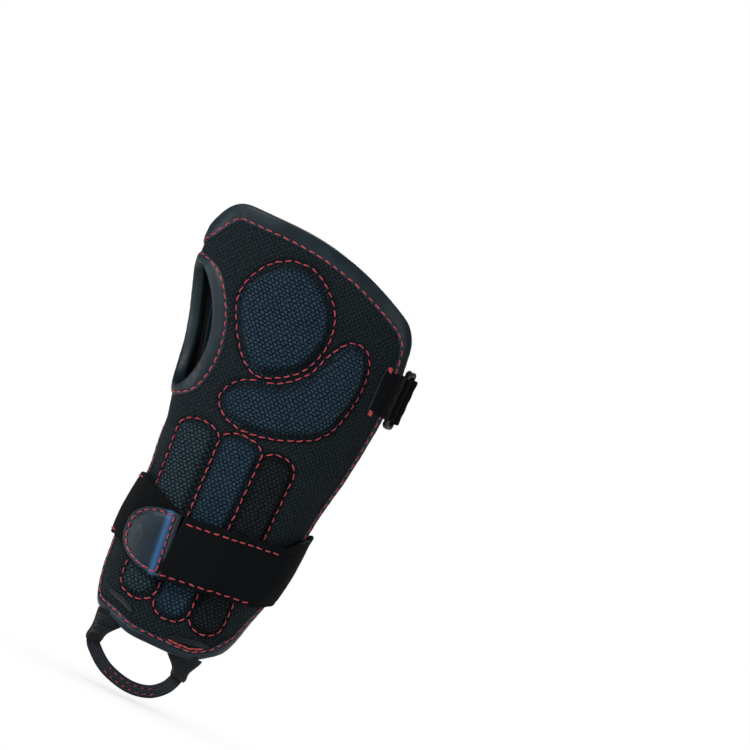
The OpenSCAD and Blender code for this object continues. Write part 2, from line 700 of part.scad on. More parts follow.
// The loop hangs in a plane and turns on a line along X just below the forearm edge
loop_y = -20.5;
loop_hinge_z = -91;
hinge_gap = 0.5;
// Sides of the two legs: x of the outer and inner side at the hinge, and where the webbing leaves
LEGS = [[-34.5, -19, -30.5], [1, 18.5, 11.5]];
leg_low = -98;
// Centre line of the webbing between the legs
LOOP_LINE = [[-31, -96], [-28.6, -101], [-20, -107.4], [-8, -110.6], [2, -109.2], [8.5, -104], [11.5, -97]];
loop_steps = 24;

// Leg that narrows from height from down to height to, where its middle stands at x low_mid
module flat_leg(leg, from, to, from_half, to_half, low_mid, thick) {
  mid = (leg[0] + leg[1]) / 2;
  function face(y) =
    [for (j = [0:4]) let (f = j / 4) [for (i = [-1, 1])
      [mix(low_mid, mid, ease(f)) + i * mix(to_half, from_half, ease(f)), y, mix(to, from, f)]]];
  sheet(face(loop_y + thick / 2), face(loop_y - thick / 2));
}
module pull_loop_legs() {
  color([0.1, 0.16, 0.21])
    for (leg = LEGS)
      flat_leg(leg, loop_hinge_z - hinge_gap, leg_low, (leg[1] - leg[0]) / 2, loop_w / 2 + 1.5, leg[2], 1.6);
}
module pull_loop_webbing() {
  n = len(LOOP_LINE);
  function spot(g) = let (k = min(n - 2, floor(g)), u = g - k,
    a = LOOP_LINE[max(0, k - 1)], p = LOOP_LINE[k], q = LOOP_LINE[k + 1], b = LOOP_LINE[min(n - 1, k + 2)],
    m0 = (q - a) / 2, m1 = (b - p) / 2)
    (2 * u^3 - 3 * u^2 + 1) * p + (u^3 - 2 * u^2 + u) * m0 + (3 * u^2 - 2 * u^3) * q + (u^3 - u^2) * m1;
  function side(g) =
    let (v = spot(min(n - 1.001, g + 0.01)) - spot(max(0, g - 0.01))) [-v[1], v[0]] / norm(v);
  function face(y) =
    [for (f = [-0.5, 0.5]) [for (k = [0:loop_steps])
      let (g = 0.45 + (n - 1.9) * k / loop_steps, p = spot(g) + side(g) * f * loop_w)
      [p[0], y, p[1]]]];
  // Clear of the legs, which fold round the webbing's ends
  color([0.06, 0.07, 0.08]) sheet(face(loop_y + 0.8 + layer + loop_t), face(loop_y + 0.8 + layer));
}
// Leather ends of the pull loop, between the panel's edge and the loop's hinge line
module pull_loop_anchors() {
  rows = 4;
  // Extra room below the binding, whose edge slopes, as far as the least height allows
  slope_room = 0.5;
  least = 0.45;
  function face(d) =
    [for (leg = LEGS) [for (j = [0:rows]) [for (i = [0:5])
      let (
        x = mix(leg[0], leg[1], i / 5),
        t = palm_angle(x, -84),
        top = max(loop_hinge_z + hinge_gap + least, panel_low(t) - seam_room - slope_room),
        f = j / rows,
        p = skin(t, top, d - 1.2),
        z = mix(loop_hinge_z + hinge_gap, top, f)
      )
      [mix(x, p[0], f), mix(loop_y + (d == 0 ? -0.8 : 0.8), p[1], ease(f)), z]]]];
  for (k = [0:1]) color([0.1, 0.16, 0.21]) sheet(face(-1.6)[k], face(0)[k]);
}
// The two slots that the loop's ends pass through: x and z at each end
SLOTS = [[[-33, -74.6], [-19.4, -79.2]], [[0.8, -82.6], [18, -79.4]]];
welt_half = 1.2;
welt_t = 1.1;
// Raised leather welt along one slot
module welt(slot) {
  steps = 6;
  a = slot[0];
  b = slot[1];
  side = welt_half * [a[1] - b[1], b[0] - a[0]] / norm(b - a);
  function face(d) =
    [for (j = [-1, 1]) [for (i = [0:steps])
      let (p = mix(a, b, i / steps) + j * side) on_palm(p[0], p[1], d)]];
  sheet(face(fit), face(fit + welt_t));
}
module loop_slot_welts() {
  color([0.16, 0.26, 0.31]) for (slot = SLOTS) welt(slot);
}

// ---- Bar tacks ----------------------------------------------------------------------------------

// Short dense rows of stitches that hold the ring keeper's ends to the palm panel
tack = [1.2, 0.6, 5];
module tack_at(x, z, d) translate(on_palm(x, z, d)) cube(tack, center = true);
module bar_tacks() {
  color([0.8, 0.25, 0.32])
    for (z = [hand_strap_z - 11, hand_strap_z + 9]) tack_at(35, z, fit + tack[1]);
}

palm_cover();
palm_foam();
palm_lining();
back_panel();
palm_edge_binding();
thumb_hole_binding();
back_top_tape();
back_forearm_tape();
upper_rubber_pad();
lower_rubber_pad();
upper_pad_cover();
lower_pad_cover();
radial_plate();
middle_plate();
ulnar_plate();
radial_plate_pocket();
middle_plate_pocket();
ulnar_plate_pocket();
wrist_strap_band();
wrist_strap_flap();
wrist_strap_hook();
wrist_strap_tab();
hand_strap_band();
hand_strap_turn();
hand_strap_flap();
hand_strap_hook();
hand_strap_tab();
ring_keeper();
hand_ring();
pull_loop_webbing();
pull_loop_legs();
pull_loop_anchors();
loop_slot_welts();
bar_tacks();
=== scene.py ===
"""Slip-on wrist guard for the left hand: the visual model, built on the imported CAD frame.

Shapes are worked out in millimetres on the guard surface and turned into metres when a mesh is made.
A place on the guard is (s, z): s is the arc length from the middle of the palm, positive to the little
finger, and z is the height above the wrist. d is the distance outside the palm cover's outer face.
"""
import math
import bmesh
import bpy
import numpy as np
from mathutils import Matrix, Vector, kdtree


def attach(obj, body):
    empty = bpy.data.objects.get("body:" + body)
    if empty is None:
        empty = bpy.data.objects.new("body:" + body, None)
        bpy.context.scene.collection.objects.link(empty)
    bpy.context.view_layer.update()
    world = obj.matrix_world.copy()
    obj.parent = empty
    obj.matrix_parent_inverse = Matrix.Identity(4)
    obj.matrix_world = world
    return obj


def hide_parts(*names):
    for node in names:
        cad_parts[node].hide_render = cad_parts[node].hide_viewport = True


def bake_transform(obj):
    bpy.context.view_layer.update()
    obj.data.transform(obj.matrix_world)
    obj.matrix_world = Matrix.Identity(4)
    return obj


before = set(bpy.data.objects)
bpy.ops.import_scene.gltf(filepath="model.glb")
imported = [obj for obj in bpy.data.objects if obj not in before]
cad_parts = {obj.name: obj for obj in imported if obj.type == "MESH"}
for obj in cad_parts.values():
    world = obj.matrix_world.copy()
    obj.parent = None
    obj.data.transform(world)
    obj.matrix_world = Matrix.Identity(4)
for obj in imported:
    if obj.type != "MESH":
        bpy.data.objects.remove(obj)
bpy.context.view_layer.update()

MM = 0.001
rng = np.random.default_rng(7)

# ---- Guard surface: the same sections as the CAD model --------------------------------------------
ROUNDNESS = 2.4
# height, thumb-side edge, little-finger-side edge, half depth
SECTIONS = np.array([
    [-90, -34, 23, 25.5], [-78, -37.5, 26.5, 25.5], [-66, -40, 29.5, 25.3], [-42, -41.5, 35.5, 24.8],
    [-19, -40, 37, 24], [-4, -41.5, 38.8, 23.6], [15, -45, 42.3, 23.4], [43, -53, 45.5, 22.5],
    [60, -57.5, 46, 21], [78, -60.5, 44.5, 19.5], [95, -61.5, 42, 18.5], [110, -61, 40, 18]])
COVER_T, FOAM_T, LINING_T, BACK_T, GAP = 0.8, 2.2, 0.8, 1.6, 0.1
LINING_IN = -(COVER_T + GAP + FOAM_T + GAP + LINING_T)
BACK_OUT = LINING_IN + BACK_T
ULNAR_SEAM = 352
CORNER_R = 11
HOLE_T, HOLE_HALF_T, HOLE_Z, HOLE_HALF_Z = 194, 35, 49.5, 28.5


def ease(f):
    f = np.clip(f, 0, 1)
    return f * f * (3 - 2 * f)


def hump(x, width):
    """Soft rise of height 1 where x is 0."""
    return np.exp(-(x / width) ** 2)


def ramp(x, x0, x1, a, b):
    """Eased change from a to b while x goes from x0 to x1."""
    return a + (b - a) * ease((np.asarray(x, float) - x0) / (x1 - x0))


def signed_power(x, power):
    """Power of the size of x, with the sign of x: squares off a circle."""
    return np.sign(x) * np.abs(x) ** power


def hermite(f, a, b, m0, m1):
    """Smooth curve from a to b with slopes m0 and m1, at share f."""
    return ((2 * f**3 - 3 * f**2 + 1) * a + (f**3 - 2 * f**2 + f) * m0
            + (3 * f**2 - 2 * f**3) * b + (f**3 - f**2) * m1)


def column(z, c):
    """Smooth value of section column c at height z."""
    z = np.asarray(z, float)
    zs, v = SECTIONS[:, 0], SECTIONS[:, c]
    n = len(zs)
    i = np.clip(np.searchsorted(zs, z, side="right") - 1, 0, n - 2)
    before, after = np.maximum(i - 1, 0), np.minimum(i + 2, n - 1)
    h = zs[i + 1] - zs[i]
    f = (z - zs[i]) / h
    m0 = (v[i + 1] - v[before]) / (zs[i + 1] - zs[before]) * h
    m1 = (v[after] - v[i]) / (zs[after] - zs[i]) * h
    return hermite(f, v[i], v[i + 1], m0, m1)


def skin(t, z, d):
    """Points at angle t (degrees, 270 is the palm) and height z, d outside the guard surface."""
    t, z, d = np.broadcast_arrays(np.asarray(t, float), np.asarray(z, float), np.asarray(d, float))
    left, right, depth = column(z, 1), column(z, 2), column(z, 3)
    turn, power = np.radians(t), 2 / ROUNDNESS
    x = (left + right) / 2 + ((right - left) / 2 + d) * signed_power(np.cos(turn), power)
    return np.stack([x, (depth + d) * signed_power(np.sin(turn), power), z], -1)


def palm_angle(x, z, d=0.0):
    left, right = column(z, 1), column(z, 2)
    f = np.clip((2 * np.asarray(x, float) - left - right) / (right - left + 2 * d), -0.999, 0.999)
    return 270 + np.degrees(np.arcsin(signed_power(f, ROUNDNESS / 2)))


# Arc length along each section, tabled so that s and t turn into each other
T_LIST = np.arange(90.0, 641.0, 1.0)
Z_STEP, S_STEP = 2.5, 0.5
Z_LIST = np.arange(-100.0, 121.0, Z_STEP)
S_LIST = np.arange(-260.0, 261.0, S_STEP)


def between(table, i, j, eased=False):
    """Value of a table at fractional column i and row j."""
    i = np.clip(i, 0, table.shape[1] - 1.001)
    j = np.clip(j, 0, table.shape[0] - 1.001)
    i0, j0 = i.astype(int), j.astype(int)
    fi, fj = (ease(i - i0), ease(j - j0)) if eased else (i - i0, j - j0)
    low = table[j0, i0] * (1 - fi) + table[j0, i0 + 1] * fi
    high = table[j0 + 1, i0] * (1 - fi) + table[j0 + 1, i0 + 1] * fi
    return low * (1 - fj) + high * fj


def arc_tables():
    grid = skin(T_LIST[None, :], Z_LIST[:, None], 0)
    step = np.linalg.norm(np.diff(grid, axis=1), axis=2)
    s = np.concatenate([np.zeros((len(Z_LIST), 1)), np.cumsum(step, axis=1)], axis=1)
    s -= s[:, [int(270 - T_LIST[0])]]
    t = np.array([np.interp(S_LIST, row, T_LIST) for row in s])
    return s, t


S_TABLE, T_TABLE = arc_tables()


def look_up(table, column_at, z):
    column_at, z = np.broadcast_arrays(np.asarray(column_at, float), np.asarray(z, float))
    return between(table, column_at, (z - Z_LIST[0]) / Z_STEP)


def s_of(t, z):
    return look_up(S_TABLE, t - T_LIST[0], z)


def t_of(s, z):
    return look_up(T_TABLE, (s - S_LIST[0]) / S_STEP, z)


def on_guard(s, z, d):
    return skin(t_of(s, z), z, d)


def s_at_x(x, z):
    """s of the palm point seen at x."""
    return s_of(palm_angle(x, z), z)


# ---- Outlines of the palm panel -------------------------------------------------------------------
def thumb_seam(z):
    return ramp(z, -18, 26, 183, 140)


def top_line(t):
    x = skin(t, 95, 0)[..., 0]
    return 108.7 - 17 * ease((222 - t) / 44) - 28 * np.clip((x + 28) / 80, 0, 1) ** 2.2


def low_line(t):
    x = skin(t, -80, 0)[..., 0]
    return -88 + ramp(x, -16, -36, 0, 5) + ramp(x, 12, 27, 0, 8)


def per_degree(t, z):
    return np.linalg.norm(skin(t + 1, z, 0) - skin(t - 1, z, 0), axis=-1) / 2


def corner(s):
    s = np.clip(s, 0, CORNER_R)
    return CORNER_R - np.sqrt(np.maximum(CORNER_R**2 - (CORNER_R - s) ** 2, 0))


def corner_rise(t, z):
    m = per_degree(t, z)
    return corner((t - thumb_seam(z)) * m) + corner((ULNAR_SEAM - t) * m)


def panel_top(t):
    return top_line(t) - corner_rise(t, 88.0)


def panel_low(t):
    return low_line(t) + corner_rise(t, -76.0)


def in_panel(t, z, inset=0.0):
    """True where a point of the guard surface lies on the palm panel."""
    m = per_degree(t, z)
    side = (t - thumb_seam(z) > inset / m) & (ULNAR_SEAM - t > inset / m)
    ends = (z < panel_top(t) - inset) & (z > panel_low(t) + inset)
    reach = HOLE_HALF_T + inset / m
    hole = ((t - HOLE_T) / reach) ** 2 + ((z - HOLE_Z) / (HOLE_HALF_Z + inset)) ** 2 < 1
    return side & ends & ~hole


def run_length(p):
    """Distance along a polyline at each of its points."""
    return np.concatenate([[0], np.cumsum(np.linalg.norm(np.diff(p, axis=0), axis=1))])


def spaced(points, step, closed=False):
    """Points at an even step along a polyline."""
    p = np.asarray(points, float)
    if closed:
        p = np.vstack([p, p[:1]])
    run = run_length(p)
    n = max(3, int(round(run[-1] / step)))
    at = np.linspace(0, run[-1], n + 1)
    if closed:
        at = at[:-1]
    return np.stack([np.interp(at, run, p[:, k]) for k in range(p.shape[1])], 1)


def round_curve(points, closed=True, per=16):
    """Smooth curve through a few points."""
    p = np.asarray(points, float)
    p = np.vstack([p[-1:], p, p[:2]] if closed else [p[:1], p, p[-1:]])
    out = []
    for a, b, c, e in zip(p, p[1:], p[2:], p[3:]):
        out += [hermite(u, b, c, (c - a) / 2, (e - b) / 2) for u in np.linspace(0, 1, per, endpoint=False)]
    return np.array(out if closed else out + [p[-1]])


def smooth_loop(p, passes):
    for turn in range(passes):
        p = (np.roll(p, 1, 0) + 2 * p + np.roll(p, -1, 0)) / 4
    return p


def panel_loop():
    """Edge of the palm panel as (s, z), from the thumb-side forearm corner towards the little finger."""
    low_t = np.linspace(float(thumb_seam(-76)) + 0.01, ULNAR_SEAM - 0.01, 400)
    top_t = np.linspace(float(thumb_seam(88)) + 0.01, ULNAR_SEAM - 0.01, 400)[::-1]
    low = np.stack([s_of(low_t, panel_low(low_t)), panel_low(low_t)], 1)
    top = np.stack([s_of(top_t, panel_top(top_t)), panel_top(top_t)], 1)
    right_z = np.linspace(low[-1, 1], top[0, 1], 80)[1:-1]
    left_z = np.linspace(top[-1, 1], low[0, 1], 80)[1:-1]
    right = np.stack([s_of(ULNAR_SEAM, right_z), right_z], 1)
    left = np.stack([s_of(thumb_seam(left_z), left_z), left_z], 1)
    return smooth_loop(spaced(np.vstack([low, right, top, left]), 1.5, closed=True), 4)


def hole_loop():
    a = np.linspace(0, 2 * math.pi, 200, endpoint=False)
    z = HOLE_Z + HOLE_HALF_Z * np.sin(a)
    return spaced(np.stack([s_of(HOLE_T + HOLE_HALF_T * np.cos(a), z), z], 1), 1.2, closed=True)


def loop_outward(loop, closed=True):
    """Unit vectors to the right of the loop's direction."""
    if closed:
        d = np.roll(loop, -1, 0) - np.roll(loop, 1, 0)
    else:
        d = np.gradient(loop, axis=0)
    n = np.stack([d[:, 1], -d[:, 0]], 1)
    return n / np.linalg.norm(n, axis=1, keepdims=True)


# ---- Meshes ---------------------------------------------------------------------------------------
def in_scene(name, data):
    """New object in the scene with the given mesh, light or camera."""
    obj = bpy.data.objects.new(name, data)
    bpy.context.scene.collection.objects.link(obj)
    return obj


def make_object(name, points, faces, uv=None, tone=None):
    """Smooth mesh from points in millimetres; uv is in millimetres too, and tone is a value per point."""
    mesh = bpy.data.meshes.new(name)
    mesh.from_pydata((np.asarray(points) * MM).tolist(), [], [list(map(int, f)) for f in faces])
    mesh.validate()
    if uv is not None:
        layer = mesh.uv_layers.new(name="cloth")
        index = np.empty(len(mesh.loops), int)
        mesh.loops.foreach_get("vertex_index", index)
        layer.data.foreach_set("uv", np.asarray(uv, float)[index].ravel())
    if tone is not None:
        attribute = mesh.attributes.new("tone", "FLOAT", "POINT")
        attribute.data.foreach_set("value", np.asarray(tone, float))
    work = bmesh.new()
    work.from_mesh(mesh)
    bmesh.ops.recalc_face_normals(work, faces=work.faces)
    work.to_mesh(mesh)
    work.free()
    mesh.polygons.foreach_set("use_smooth", [True] * len(mesh.polygons))
    mesh.update()
    return in_scene(name, mesh)


def shell_faces(rows, cols, keep=None):
    """Faces of a closed sheet: the low grid's points come first, then the high grid's."""
    n = rows * cols
    keep = np.ones((rows - 1, cols - 1), bool) if keep is None else keep
    j, i = np.nonzero(keep)
    a = j * cols + i
    b, c, d = a + cols, a + cols + 1, a + 1
    faces = [np.stack([a + n, d + n, c + n, b + n], 1), np.stack([a, b, c, d], 1)]
    padded = np.pad(keep, 1)
    for dj, di, p, q in ((-1, 0, a, d), (1, 0, c, b), (0, -1, b, a), (0, 1, d, c)):
        open_side = ~padded[j + 1 + dj, i + 1 + di]
        p, q = p[open_side], q[open_side]
        faces.append(np.stack([p, q, q + n, p + n], 1))
    return np.vstack(faces)


def flat_grid(box, step):
    """Even grid over box (s from, s to, z from, z to): rows of s, rows of z, and all points."""
    ss, zz = np.meshgrid(np.arange(box[0], box[1], step), np.arange(box[2], box[3], step))
    return ss, zz, np.stack([ss.ravel(), zz.ravel()], 1)


def whole_cells(good):
    """True for grid cells whose four corners are all good."""
    return good[:-1, :-1] & good[1:, :-1] & good[:-1, 1:] & good[1:, 1:]


def two_layers(t, z, low, high):
    """Points of a closed sheet between offsets low and high."""
    return np.vstack([skin(t, z, low).reshape(-1, 3), skin(t, z, high).reshape(-1, 3)])


def twice(values):
    """The same values for the low and the high points of a sheet."""
    return np.concatenate([values, values])


def drop_loose(points, faces, *extras):
    used = np.unique(faces)
    index = np.full(len(points), -1)
    index[used] = np.arange(len(used))
    return (points[used], index[faces], *[e[used] for e in extras])


def tube(name, rings, uv=None, closed_path=False):
    """Closed surface swept through rings[station][corner]; ends are capped unless the path is closed."""
    rings = np.array(rings)
    n, m = rings.shape[:2]
    faces = []
    for j in range(n if closed_path else n - 1):
        a, b = j * m, (j + 1) % n * m
        faces += [(a + i, a + (i + 1) % m, b + (i + 1) % m, b + i) for i in range(m)]
    if not closed_path:
        faces += [tuple(range(m - 1, -1, -1)), tuple((n - 1) * m + i for i in range(m))]
    return make_object(name, rings.reshape(-1, 3), faces, None if uv is None else np.reshape(uv, (-1, 2)))


# ---- Materials ------------------------------------------------------------------------------------
def bare(value):
    return value.socket if isinstance(value, Value) else value


def add(tree, kind, inputs=None, **settings):
    node = tree.nodes.new(kind)
    for key, value in settings.items():
        setattr(node, key, value)
    for key, value in (inputs or {}).items():
        if isinstance(value, (Value, bpy.types.NodeSocket)):
            tree.links.new(bare(value), node.inputs[key])
        else:
            node.inputs[key].default_value = value
    return node


class Value:
    """A number in a node tree; arithmetic on values adds the nodes for it."""

    def __init__(self, tree, socket):
        self.tree, self.socket = tree, socket

    def math(self, operation, other=0.0):
        node = add(self.tree, "ShaderNodeMath", {0: self, 1: other}, operation=operation)
        return Value(self.tree, node.outputs[0])

    def __add__(self, other):
        return self.math("ADD", other)

    def __sub__(self, other):
        return self.math("SUBTRACT", other)

    def __mul__(self, other):
        return self.math("MULTIPLY", other)

    def __truediv__(self, other):
        return self.math("DIVIDE", other)

    def floor(self):
        return self.math("FLOOR")

    def fraction(self):
        return self.math("FRACT")

    def size(self):
        return self.math("ABSOLUTE")

    def odd(self):
        """1 for an odd whole number, 0 for an even one."""
        return self.size().math("MODULO", 2.0)

    def wave(self):
        """Size of the sine: one arch in every half turn."""
        return self.math("SINE").size()

    def eased(self, low, high, to_low=0.0, to_high=1.0):
        """Smooth step from to_low to to_high between low and high."""
        ends = {"Value": self, "From Min": low, "From Max": high, "To Min": to_low, "To Max": to_high}
        node = add(self.tree, "ShaderNodeMapRange", ends, interpolation_type="SMOOTHSTEP")
        return Value(self.tree, node.outputs["Result"])

    def blend(self, a, b):
        """Colour that goes from a to b as this value goes from 0 to 1."""
        a, b = (value if isinstance(value, bpy.types.NodeSocket) else (*value, 1) for value in (a, b))
        return add(self.tree, "ShaderNodeMix", {"Factor": self, 6: a, 7: b}, data_type="RGBA").outputs[2]


class Look:
    """A material being built; uv is the cloth's own vector in millimetres, u and v its parts."""

    def __init__(self, name):
        self.material = bpy.data.materials.new(name)
        self.material.use_nodes = True
        self.tree = self.material.node_tree
        self.uv = self.node("ShaderNodeUVMap", uv_map="cloth").outputs[0]
        parts = self.node("ShaderNodeSeparateXYZ", {0: self.uv})
        self.u, self.v = (Value(self.tree, parts.outputs[k]) for k in (0, 1))

    def node(self, kind, inputs=None, **settings):
        return add(self.tree, kind, inputs, **settings)

    def noise(self, scale, detail=3.0, rough=0.5, vector=None):
        inputs = {"Vector": vector or self.uv, "Scale": scale, "Detail": detail, "Roughness": rough}
        return Value(self.tree, self.node("ShaderNodeTexNoise", inputs).outputs["Fac"])

    def cells(self, scale, feature):
        node = self.node("ShaderNodeTexVoronoi", {"Vector": self.uv, "Scale": scale}, feature=feature)
        return Value(self.tree, node.outputs["Distance"])

    def tone(self):
        return Value(self.tree, self.node("ShaderNodeAttribute", attribute_name="tone").outputs["Fac"])

    def edges(self, sharp):
        """Towards 1 on convex edges."""
        point = self.node("ShaderNodeNewGeometry").outputs["Pointiness"]
        return Value(self.tree, point).eased(0.5, sharp)

    def surface(self, colour, height, bump_mm, roughness, sheen=0.0, specular=0.5):
        """Joins colour, roughness and a bump whose height runs from 0 to bump_mm."""
        bump = self.node("ShaderNodeBump", {"Height": height, "Strength": 1.0, "Distance": bump_mm * MM})
        inputs = {"Base Color": colour, "Normal": bump.outputs[0], "Roughness": bare(roughness),
                  "Sheen Weight": sheen, "Sheen Roughness": 0.4, "Specular IOR Level": specular}
        shader = self.tree.nodes["Principled BSDF"]
        for key, value in inputs.items():
            if isinstance(value, bpy.types.NodeSocket):
                self.tree.links.new(value, shader.inputs[key])
            else:
                shader.inputs[key].default_value = value
        return self.material


def basket_height(u, v, pitch):
    """Over-and-under weave whose threads run on both diagonals."""
    a, b = (u + v) / pitch, (u - v) / pitch
    over = (a.floor() + b.floor()).odd()
    rise_a, rise_b = ((side.fraction() * math.pi).math("SINE") for side in (a, b))
    first, second = rise_a * (rise_b * 0.5 + 0.5), rise_b * (rise_a * 0.5 + 0.5)
    return Value(u.tree, add(u.tree, "ShaderNodeMix", {0: over, 2: first, 3: second}).outputs[0])


def dot_height(u, v, pitch):
    """Rows of oval bumps, every other row moved half a pitch."""
    row = v / (pitch * 0.72)
    x = (u / pitch + row.floor().odd() * 0.5).fraction() - 0.5
    y = row.fraction() - 0.5
    return (x * x + y * y * 0.8).eased(0.02, 0.22, 1.0, 0.0)


def woven_material(name, dark, light, weave, pitch, bump, rough=0.75, sheen=0.01, patch=0.35):
    """Cloth with a weave in its height and colour, uneven patches, and painted shade in the valleys where
    tone is high; the weave's raised threads are lighter, partly its pattern and partly a painted highlight.
    """
    look = Look(name)
    sway_u, sway_v = look.noise(0.31, 2.0) * (pitch * 0.9), look.noise(0.37, 2.0) * (pitch * 0.9)
    height = weave(sway_u + look.u, sway_v + look.v, pitch)
    strength = look.noise(0.9, 2.0, 0.7) * 1.6 + 0.2
    patches = look.noise(0.06) * (patch * 2) + (1 - patch)
    # Raised threads lighter: partly the weave's pattern, partly a painted highlight.
    woven = (height * strength * patches).blend(dark, light)
    # Painted shade: darker in the valleys along the seams, where tone is high.
    colour = (look.tone() * 0.85).blend(woven, tuple(c * 0.4 for c in dark))
    rough_map = height.eased(0.0, 1.0, min(1.0, rough + 0.15), rough - 0.1)
    return look.surface(colour, look.noise(3.1) * 0.15 + height, bump, rough_map, sheen, 0.12)


def leather_material(name, dark, light, rough=0.42, fold=None):
    """Synthetic leather: fine pebbled grain, soft creases, and lighter convex edges, partly rubbed wear and
    partly a painted highlight.

    fold is the colour of a painted highlight along a fold, where tone is high.
    """
    look = Look(name)
    creases = look.noise(0.45, 4.0, 0.6)
    base = look.noise(0.05).eased(0.3, 0.7).blend(dark, light)
    # Convex edges lighter: partly rubbed wear, partly a painted highlight.
    worn = (look.edges(0.56) * 0.3).blend(base, tuple(c * 1.6 for c in light))
    # Painted highlight along a fold, where tone is high.
    if fold:
        worn = look.tone().blend(worn, fold)
    relief = creases * 0.8 + look.cells(1.7, "SMOOTH_F1") * 0.5
    return look.surface(worn, relief, 0.12, creases.eased(0.2, 0.8, rough - 0.08, rough + 0.12), 0.0, 0.24)


def brushed_material(name, dark, light, fibre=9.0, speckle=0.5, sheen=0.015):
    """Brushed loop fabric: matted fine fibres with pale specks."""
    look = Look(name)
    stretched = look.node("ShaderNodeMapping", {"Vector": look.uv, "Scale": (0.35, 1.0, 1.0)}).outputs[0]
    fibres = look.noise(fibre * 0.4, 5.0, 0.7, stretched)
    specks = look.cells(0.9, "F1").eased(0.0, 0.22, speckle, 0.0)
    colour = (fibres * 0.7 + specks).blend(dark, light)
    return look.surface(colour, look.noise(0.5, 3.0, 0.6) * 1.2 + fibres, 0.35, 0.9, sheen, 0.06)


def ribbed_material(name, dark, light, pitch, rough=0.7):
    """Woven webbing or knit: ribs along the piece, crossed by slanted stitches."""
    look = Look(name)
    lean = (look.v / pitch).floor().odd() * 2.0 - 1.0
    slant = look.v * lean * 0.8 + look.u
    weft = (slant * (math.pi / (pitch * 0.8))).wave()
    height = (look.v * (math.pi / pitch)).wave() * (weft * 0.6 + 0.4)
    colour = (height * (look.noise(0.08) * 0.8 + 0.6)).blend(dark, light)
    return look.surface(colour, height, 0.18, rough, 0.02, 0.12)


def moulded_material(name, colour, rough, grain_scale=900.0, bump=0.03):
    """Moulded plastic, rubber or foam: fine texture and slight unevenness, placed by object space."""
    look = Look(name)
    where = look.node("ShaderNodeTexCoord").outputs["Object"]
    uneven = look.noise(60.0, vector=where)
    # Lighter copy of the colour, for uneven patches and for a painted highlight on convex edges.
    lit = tuple(min(1, c * 1.5 + 0.01) for c in colour)
    tint = (uneven * 0.3 + look.edges(0.58) * 0.5).blend(colour, lit)
    rough_map = uneven.eased(0.3, 0.7, rough - 0.06, rough + 0.08)
    return look.surface(tint, look.noise(grain_scale, 3.0, 0.6, where), bump, rough_map)


def thread_material():
    """Twisted sewing thread with a painted highlight on the twist's ridges; each stitch has its own tone
    between pink and orange red.
    """
    look = Look("sewing_thread")
    twist = ((look.u + look.v) * 6.0).wave()
    base = look.tone().blend((0.50, 0.025, 0.075), (0.68, 0.075, 0.045))
    # Painted highlight on the ridges of the twist.
    return look.surface((twist * 0.35).blend(base, (0.75, 0.16, 0.17)), twist, 0.08, 0.55, 0.05)


# name: dark and light colour of a raised cover; the light colour goes on the raised threads, partly as a
# painted highlight
DOTTED = {
    "pad": ((0.0022, 0.0060, 0.0100), (0.0200, 0.0470, 0.0720)),
    "pocket": ((0.0025, 0.0060, 0.0085), (0.0240, 0.0450, 0.0570)),
    "pocket_blue": ((0.0020, 0.0070, 0.0120), (0.0180, 0.0460, 0.0700)),
    "pocket_dark": ((0.0010, 0.0018, 0.0026), (0.0085, 0.0145, 0.0190)),
}
# name: kind of cloth, dark and light colour, then the kind's own values
LOOKS = {
    # mesh's light colour goes on the raised threads, partly as a painted highlight
    "mesh": (woven_material, (0.0010, 0.0020, 0.0026), (0.0105, 0.0190, 0.0235), basket_height, 2.3, 0.4),
    "leather": (leather_material, (0.0030, 0.0080, 0.0115), (0.0085, 0.0200, 0.0270), 0.42),
    # tab_leather's last colour is a painted highlight along the fold beside the straight stitch row
    "tab_leather": (leather_material, (0.0022, 0.0075, 0.0135), (0.0055, 0.0165, 0.0265), 0.4,
                    (0.03, 0.105, 0.24)),
    "dark_leather": (leather_material, (0.0014, 0.0026, 0.0034), (0.0038, 0.0068, 0.0090), 0.45),
    "lining": (brushed_material, (0.008, 0.008, 0.009), (0.035, 0.035, 0.04), 6.0, 0.1),
    "stretch": (ribbed_material, (0.003, 0.004, 0.005), (0.016, 0.018, 0.022), 1.1),
    "loop": (brushed_material, (0.0012, 0.0013, 0.0016), (0.0095, 0.0115, 0.0135), 9.0, 0.5),
    "hook": (brushed_material, (0.004, 0.004, 0.005), (0.025, 0.025, 0.03), 12.0, 0.9),
    "webbing": (ribbed_material, (0.004, 0.005, 0.0065), (0.028, 0.033, 0.040), 1.2),
    "ring": (moulded_material, (0.012, 0.012, 0.014), 0.38),
    "rubber": (moulded_material, (0.55, 0.2, 0.02), 0.6),
    "plate": (moulded_material, (0.42, 0.02, 0.02), 0.45),
    "foam": (moulded_material, (0.1, 0.105, 0.11), 0.95, 1500.0, 0.3),
}
MATERIALS = {name: make("guard_" + name, *values) for name, (make, *values) in LOOKS.items()}
for name, colours in DOTTED.items():
    MATERIALS[name] = woven_material("guard_" + name, *colours, dot_height, 2.1, 0.35)
MATERIALS["thread"] = thread_material()


def dress(obj, look):
    obj.data.materials.clear()
    obj.data.materials.append(MATERIALS[look])
    return obj


def stand_in(obj, node, body="shell"):
    """Puts a piece in the place of a CAD node, riding on a body."""
    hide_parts(node)
    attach(obj, body)


def fit_out(obj, look, node, body="shell"):
    dress(obj, look)
    stand_in(obj, node, body)


